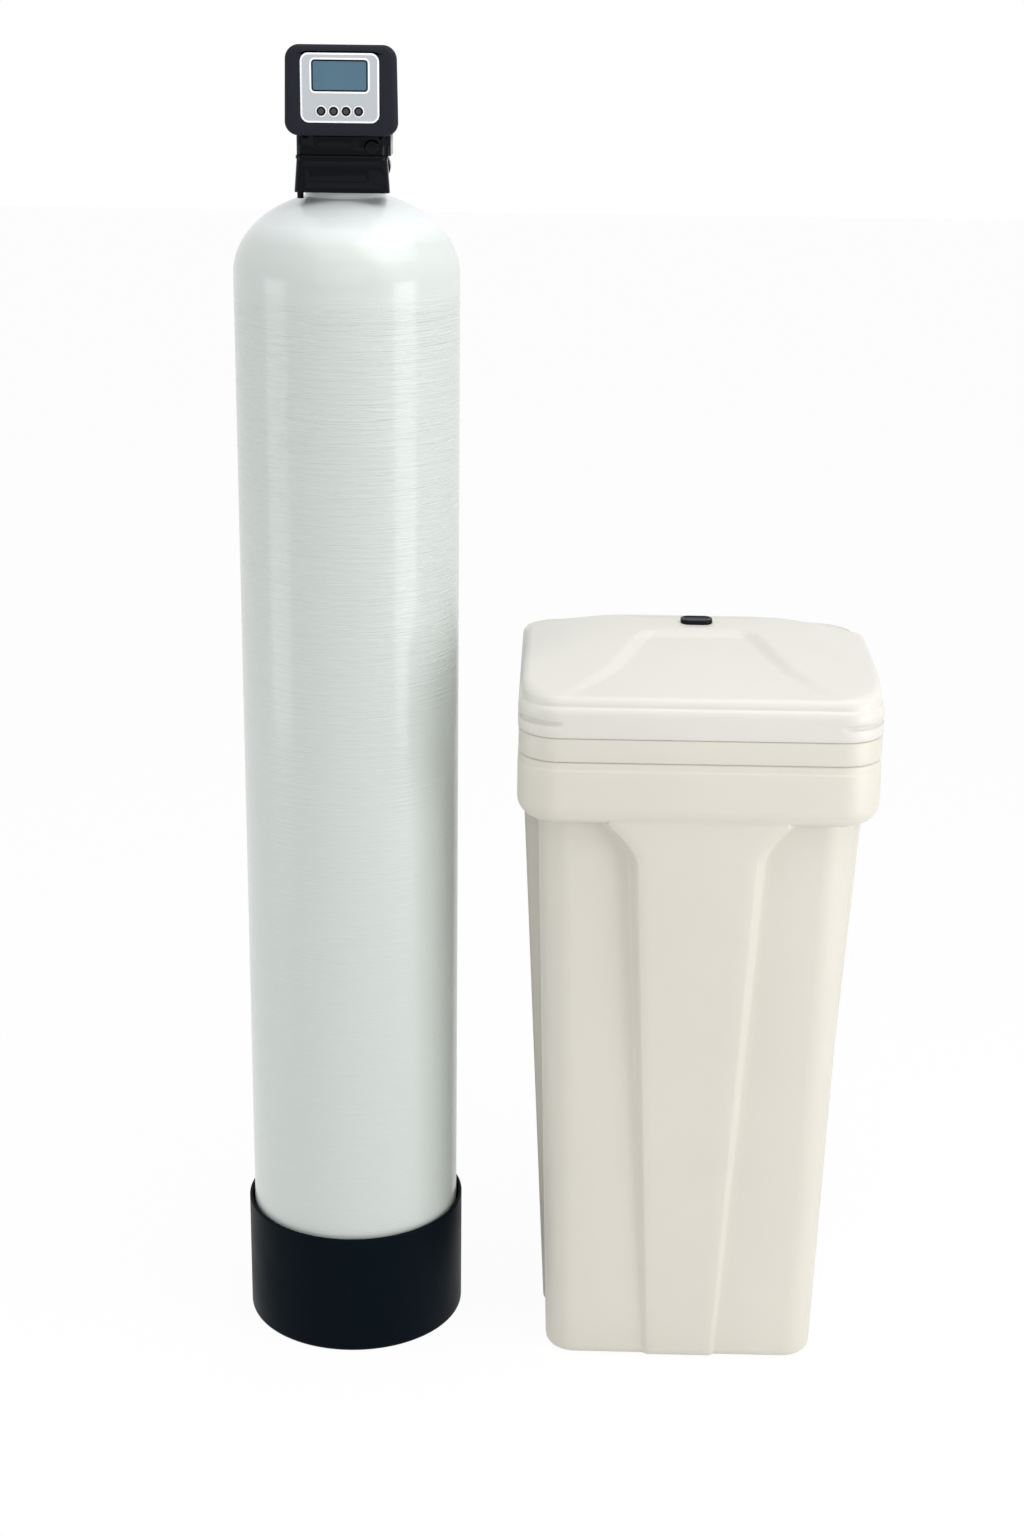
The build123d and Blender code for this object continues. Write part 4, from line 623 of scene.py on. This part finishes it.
def lid_grip():
    """The oval plug at the lid's crown, with a shallow dish in its top."""
    low, high = (v / MM for v in (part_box("lid_grip")[0].z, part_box("lid_grip")[1].z))
    half_u, half_v, radius = 19.0, 12.5, 10.0
    rings = [(0.0, low), (0.0, high - 1.4), (0.15, high - 0.8), (0.5, high - 0.35), (1.2, high - 0.05)]
    rings += [(2.2, high), (3.2, high - 0.15), (4.0, high - 0.7), (5.0, high - 1.1), (7.5, high - 1.2)]
    bm = bmesh.new()
    stack = []
    for inset, z in rings:
        outline = round_outline(half_u - inset, half_v - inset, radius - inset, 3, 10)
        stack.append([(BRINE_X + u, BRINE_Y + v, z) for u, v in outline])
    loft(bm, stack, first_cap=True, last_cap=True)
    piece("lid_grip_skin", bm, "lid", ["lid_grip"], [LOOKS["grip_black"]])


# Head, face panel, display and buttons
def facing(outline, x, z, y, spread=False):
    """Places an outline in the plane at y; spread widens it towards the head's foot."""
    ring = []
    for u, v in outline:
        scale = 1.0
        if spread:
            share = min(max((z + v - HEAD_Z) / HEAD_HEIGHT, 0.0), 1.0)
            scale = mix(HEAD_FOOT_HALF, HEAD_HALF, share) / HEAD_HALF
        ring.append((x + u * scale, y, z + v))
    return ring


def head_ring(inset, y):
    half = HEAD_HALF - SIDE_DRAFT * (y - HEAD_FRONT)
    tall = (HEAD_HEIGHT - TOP_DRAFT * (y - HEAD_FRONT)) / 2
    outline = round_outline(half - inset, tall - inset, HEAD_RADIUS - inset, 6, 12)
    return facing(outline, HEAD_X, HEAD_Z + tall, y, True)


def plate_ring(outline, out, z, y):
    """A ring of a rounded plate centred on the face panel, grown by out on every side."""
    half_u, half_v, radius = (size + out for size in outline)
    return facing(round_outline(half_u, half_v, radius, 6, 12), PANEL_X, z, y)


def head_cover():
    """The dark front cover, with a rounded front edge and the opening that the face panel sits in."""
    edge, steps, wall = 7.0, 8, 3.0
    rings = [head_ring(0.0, y) for y in (HEAD_SEAM, -60.0, -74.0)]
    for i in range(steps + 1):
        a = math.pi / 2 * i / steps
        rings.append(head_ring(edge - edge * math.cos(a), HEAD_FRONT + edge - edge * math.sin(a)))
    rings.append(head_ring(10.0, HEAD_FRONT))
    for out, y in ((1.6, HEAD_FRONT), (0.5, HEAD_FRONT + 0.12), (0.0, HEAD_FRONT + 0.6), (0.0, HEAD_FRONT + 1.55),
                   (-3.3, HEAD_FRONT + 1.6), (-3.4, HEAD_FRONT + wall)):
        rings.append(plate_ring(COVER_HOLE, out, PANEL_Z, y))
    for inset, y in ((9.0, HEAD_FRONT + wall), (4.5, HEAD_FRONT + 4.5), (wall, HEAD_FRONT + 8.0),
                     (wall, HEAD_SEAM)):
        rings.append(head_ring(inset, y))
    bm = bmesh.new()
    loft(bm, rings, wrap=True)
    piece("head_cover_skin", bm, "root", ["head_cover"], [LOOKS["head_charcoal"]], 50.0)


def second_material(bm, rings, **ends):
    """A loft whose faces take the piece's second material."""
    first = len(bm.faces)
    loft(bm, rings, **ends)
    bm.faces.ensure_lookup_table()
    for f in bm.faces[first:]:
        f.material_index = 1


def bored_sheets(bm, levels, places, z, radius):
    """The flat front and back of a plate whose sheets were left open, with round holes through both."""
    near = 0.001
    for x in places:
        rims = [[bm.verts.new((x + u, y, z + v)) for u, v in circle(radius, BUTTON_SIDES)] for y in levels]
        for k in range(BUTTON_SIDES):
            after = (k + 1) % BUTTON_SIDES
            bm.faces.new((rims[0][k], rims[0][after], rims[1][after], rims[1][k]))
    for y in levels:
        rim = [e for e in bm.edges if len(e.link_faces) == 1 and all(abs(v.co.y - y) < near for v in e.verts)]
        bmesh.ops.triangle_fill(bm, edges=rim, use_beauty=True, normal=(0.0, -1.0, 0.0))
    bmesh.ops.recalc_face_normals(bm, faces=bm.faces)


def face_panel():
    """The grey panel with a light trim at its edge, round its window and round each button."""
    back, face = HEAD_FRONT + 1.6, PANEL_FRONT + 0.3
    trim_in, trim_out, hole = 4.8, 6.1, 5.4
    rings = []
    for out, y in ((0.0, back), (0.0, PANEL_FRONT + 0.55), (-0.15, face), (-1.9, PANEL_FRONT + 0.04),
                   (-2.0, PANEL_FRONT + 0.25), (-2.5, face)):
        rings.append(plate_ring(PANEL_OUTLINE, out, PANEL_Z, y))
    for out, y in ((1.95, face), (1.8, PANEL_FRONT + 0.04), (0.3, PANEL_FRONT), (0.0, face), (0.0, back)):
        rings.append(plate_ring(WINDOW_OUTLINE, out, WINDOW_Z, y))
    bm = bmesh.new()
    loft(bm, rings, wrap=True)
    count = len(rings[0])
    bm.faces.ensure_lookup_table()
    trim_bands, sheet_bands = (1, 2, 3, 6, 7, 8), (5, 10)
    for index, f in enumerate(bm.faces):
        f.material_index = 1 if index // count in trim_bands else 0
    sheets = [f for index, f in enumerate(bm.faces) if index // count in sheet_bands]
    bmesh.ops.delete(bm, geom=sheets, context="FACES")
    bored_sheets(bm, (face, back), button_places(), BUTTON_Z, hole)
    for x in button_places():
        profile = [(trim_in, back), (trim_in, PANEL_FRONT + 0.25), (5.0, PANEL_FRONT + 0.03),
                   (5.8, PANEL_FRONT + 0.03), (trim_out, PANEL_FRONT + 0.25), (trim_out, back)]
        second_material(bm, turned_y(profile, BUTTON_SIDES, x, BUTTON_Z), wrap=True)
    piece("face_panel_skin", bm, "root", ["face_panel"],
          [LOOKS["panel_grey"], LOOKS["panel_trim"]], 30.0)


def button_places():
    return [PANEL_X + BUTTON_PITCH * (i - (BUTTON_COUNT - 1) / 2) for i in range(BUTTON_COUNT)]


def display():
    """The dark frame and the display's face in the panel's window."""
    bm = bmesh.new()
    rings = []
    for out, y in ((-0.1, HEAD_FRONT + 1.5), (-0.1, PANEL_FRONT + 0.5), (-0.4, PANEL_FRONT + 0.35),
                   (-1.6, PANEL_FRONT + 0.5), (-1.7, HEAD_FRONT + 1.5)):
        rings.append(plate_ring(WINDOW_OUTLINE, out, WINDOW_Z, y))
    loft(bm, rings, wrap=True)
    glass = [plate_ring(GLASS_OUTLINE, 0.0, WINDOW_Z, y) for y in (HEAD_FRONT + 1.2, PANEL_FRONT + 0.7)]
    second_material(bm, glass, first_cap=True, last_cap=True)
    piece("display_window_skin", bm, "root", ["display_window"],
          [LOOKS["display_frame"], LOOKS["display_face"]], 30.0)


def buttons():
    """Black caps with a greyer dish in the face, each on the body of its own joint."""
    for k, x in enumerate(button_places(), 1):
        low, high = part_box(f"button_{k}")
        front, back = low.y / MM, high.y / MM
        profile = [(2.0, back), (2.0, PANEL_FRONT + 4.0), (4.45, PANEL_FRONT + 3.9), (4.6, front + 0.6)]
        profile += [(4.5, front + 0.25), (4.1, front + 0.03), (3.2, front), (3.0, front + 0.1)]
        profile += [(2.9, front + 0.35), (1.6, front + 0.42), (0.6, front + 0.45)]
        bm = bmesh.new()
        loft(bm, turned_y(profile, BUTTON_SIDES, x, BUTTON_Z), first_cap=True, last_cap=True)
        bm.faces.ensure_lookup_table()
        dish_start, back_cap = BUTTON_SIDES * 7, BUTTON_SIDES * (len(profile) - 1)
        for index, f in enumerate(bm.faces):
            f.material_index = 1 if index >= dish_start and index != back_cap else 0
        piece(f"button_{k}_skin", bm, f"key_{k}", [f"button_{k}"],
              [LOOKS["button_black"], LOOKS["button_face"]])


# CAD nodes that keep their shape, and how far the edges of some are rounded, in millimetres
SOFTENED = {"valve_base": 1.0, "valve_body": 1.0, "injector_cap": 0.6, "head_housing": 0.6,
            "overflow_elbow": 0.4, "overflow_nut": 0.4, "brine_connector": 0.2}
EDGE_SEGMENTS, EDGE_ANGLE, WELD_DISTANCE = 2, 40, 0.00001


def dress_nodes():
    slots = {part["node"]: part["material_slot"] for part in frame["record"]["subparts"]}
    for node, obj in frame["nodes"].items():
        obj.data.materials.clear()
        obj.data.materials.append(LOOKS[slots[node]])
        obj.data.polygons.foreach_set("use_smooth", [True] * len(obj.data.polygons))
        if node in SOFTENED:
            weld = obj.modifiers.new("weld", "WELD")
            weld.merge_threshold = WELD_DISTANCE
            bevel = obj.modifiers.new("edges", "BEVEL")
            bevel.width = SOFTENED[node] * MM
            bevel.segments = EDGE_SEGMENTS
            bevel.limit_method = "ANGLE"
            bevel.angle_limit = math.radians(EDGE_ANGLE)
            bevel.harden_normals = True


# Camera, lights and floor, in metres and radians
CAMERA_PLACE, CAMERA_TURN = (0.2491, -2.825, 1.6649), (0.3202, -0.0196, 0.0116)
FOCAL_PIXELS, IMAGE_HEIGHT, SENSOR = 2464.2, 1536, 36
SOFT_COLOUR, SOFT_STRENGTH = (0.99, 0.995, 1.0, 1.0), 0.62
FLOOR_REACH, FLOOR_TONE, FLOOR_GLOW = 14.0, 0.93, 0.95
FLOOR_ROUGHNESS, FLOOR_SPECULAR = 0.9, 0.1
# Name, place, aim, size and watts
LAMPS = (
    ("top_softbox", (0.35, -0.75, 3.4), (0.25, 0.0, 0.8), (3.2, 2.4), 28.0),
    ("lid_softbox", (0.85, -0.35, 2.3), (0.38, 0.0, 0.85), (1.2, 1.0), 7.5),
    ("front_softbox", (0.0, -2.8, 2.0), (0.1, 0.0, 1.1), (2.4, 1.6), 7.0),
    ("right_softbox", (2.3, -1.6, 2.4), (0.2, 0.0, 0.9), (1.4, 1.6), 6.0),
    ("right_strip", (2.05, -1.0, 0.7), (0.0, 0.0, 0.7), (1.0, 1.2), 16.0),
    ("left_strip", (-2.15, -0.75, 0.7), (0.0, 0.0, 0.7), (1.0, 1.2), 9.0),
)


def add_camera():
    """The camera that was fitted to the photograph."""
    pitch, yaw, roll = CAMERA_TURN
    ahead = Vector((math.sin(yaw) * math.cos(pitch), math.cos(yaw) * math.cos(pitch), -math.sin(pitch)))
    level = Vector((math.cos(yaw), -math.sin(yaw), 0.0))
    up = level.cross(ahead)
    right = math.cos(roll) * level + math.sin(roll) * up
    top = -math.sin(roll) * level + math.cos(roll) * up
    data = bpy.data.cameras.new("camera")
    data.sensor_width = SENSOR
    data.lens = FOCAL_PIXELS / IMAGE_HEIGHT * SENSOR
    camera = bpy.data.objects.new("camera", data)
    turn = Matrix((right, top, -ahead)).transposed().to_4x4()
    camera.matrix_world = Matrix.Translation(CAMERA_PLACE) @ turn
    scene.collection.objects.link(camera)
    scene.camera = camera


def add_lamp(name, place, aim, size, watts):
    data = bpy.data.lights.new(name, "AREA")
    data.shape = "RECTANGLE"
    data.size, data.size_y = size
    data.energy = watts
    lamp = bpy.data.objects.new(name, data)
    lamp.location = place
    lamp.rotation_euler = (Vector(aim) - Vector(place)).to_track_quat("-Z", "Y").to_euler()
    lamp.visible_camera = False
    scene.collection.objects.link(lamp)


def seen_rays(tree):
    """1 for rays that show the background: from the camera, in gloss and through glass."""
    path = tree.nodes.new("ShaderNodeLightPath")
    value = path.outputs["Is Camera Ray"]
    for name in ("Is Glossy Ray", "Is Transmission Ray"):
        node = tree.nodes.new("ShaderNodeMath")
        node.operation = "MAXIMUM"
        tree.links.new(value, node.inputs[0])
        tree.links.new(path.outputs[name], node.inputs[1])
        value = node.outputs["Value"]
    return value


def add_world():
    """White where the background is seen, and a softer light everywhere else."""
    world = bpy.data.worlds.new("studio")
    world.use_nodes = True
    scene.world = world
    tree = world.node_tree
    tree.nodes.clear()
    seen = tree.nodes.new("ShaderNodeBackground")
    soft = tree.nodes.new("ShaderNodeBackground")
    soft.inputs["Color"].default_value = SOFT_COLOUR
    soft.inputs["Strength"].default_value = SOFT_STRENGTH
    blend = tree.nodes.new("ShaderNodeMixShader")
    out = tree.nodes.new("ShaderNodeOutputWorld")
    tree.links.new(seen_rays(tree), blend.inputs["Fac"])
    tree.links.new(soft.outputs["Background"], blend.inputs[1])
    tree.links.new(seen.outputs["Background"], blend.inputs[2])
    seen.inputs["Color"].default_value = (1.0, 1.0, 1.0, 1.0)
    tree.links.new(blend.outputs["Shader"], out.inputs["Surface"])


def add_floor():
    """A white floor that shows as background and only lights the part softly."""
    bm = bmesh.new()
    corners = ((-FLOOR_REACH, -FLOOR_REACH), (FLOOR_REACH, -FLOOR_REACH), (FLOOR_REACH, FLOOR_REACH),
               (-FLOOR_REACH, FLOOR_REACH))
    bm.faces.new([bm.verts.new((x, y, 0.0)) for x, y in corners])
    mesh = bpy.data.meshes.new("floor")
    bm.to_mesh(mesh)
    bm.free()
    floor = bpy.data.objects.new("floor", mesh)
    scene.collection.objects.link(floor)
    material = bpy.data.materials.new("floor")
    material.use_nodes = True
    tree = material.node_tree
    shader = tree.nodes["Principled BSDF"]
    shader.inputs["Base Color"].default_value = (FLOOR_TONE, FLOOR_TONE, FLOOR_TONE, 1.0)
    shader.inputs["Roughness"].default_value = FLOOR_ROUGHNESS
    shader.inputs["Specular IOR Level"].default_value = FLOOR_SPECULAR
    glow = tree.nodes.new("ShaderNodeEmission")
    blend = tree.nodes.new("ShaderNodeMixShader")
    share = tree.nodes.new("ShaderNodeMath")
    share.operation = "MULTIPLY"
    share.inputs[1].default_value = FLOOR_GLOW
    tree.links.new(seen_rays(tree), share.inputs[0])
    tree.links.new(share.outputs["Value"], blend.inputs["Fac"])
    tree.links.new(shader.outputs["BSDF"], blend.inputs[1])
    tree.links.new(glow.outputs["Emission"], blend.inputs[2])
    tree.links.new(blend.outputs["Shader"], tree.nodes["Material Output"].inputs["Surface"])
    mesh.materials.append(material)


add_camera()
dress_nodes()
tank_skin()
boot_skin()
brine_body()
collar()
lid()
lid_grip()
head_cover()
face_panel()
display()
buttons()
add_world()
add_floor()
for lamp in LAMPS:
    add_lamp(*lamp)
scene.view_settings.view_transform = "Standard"
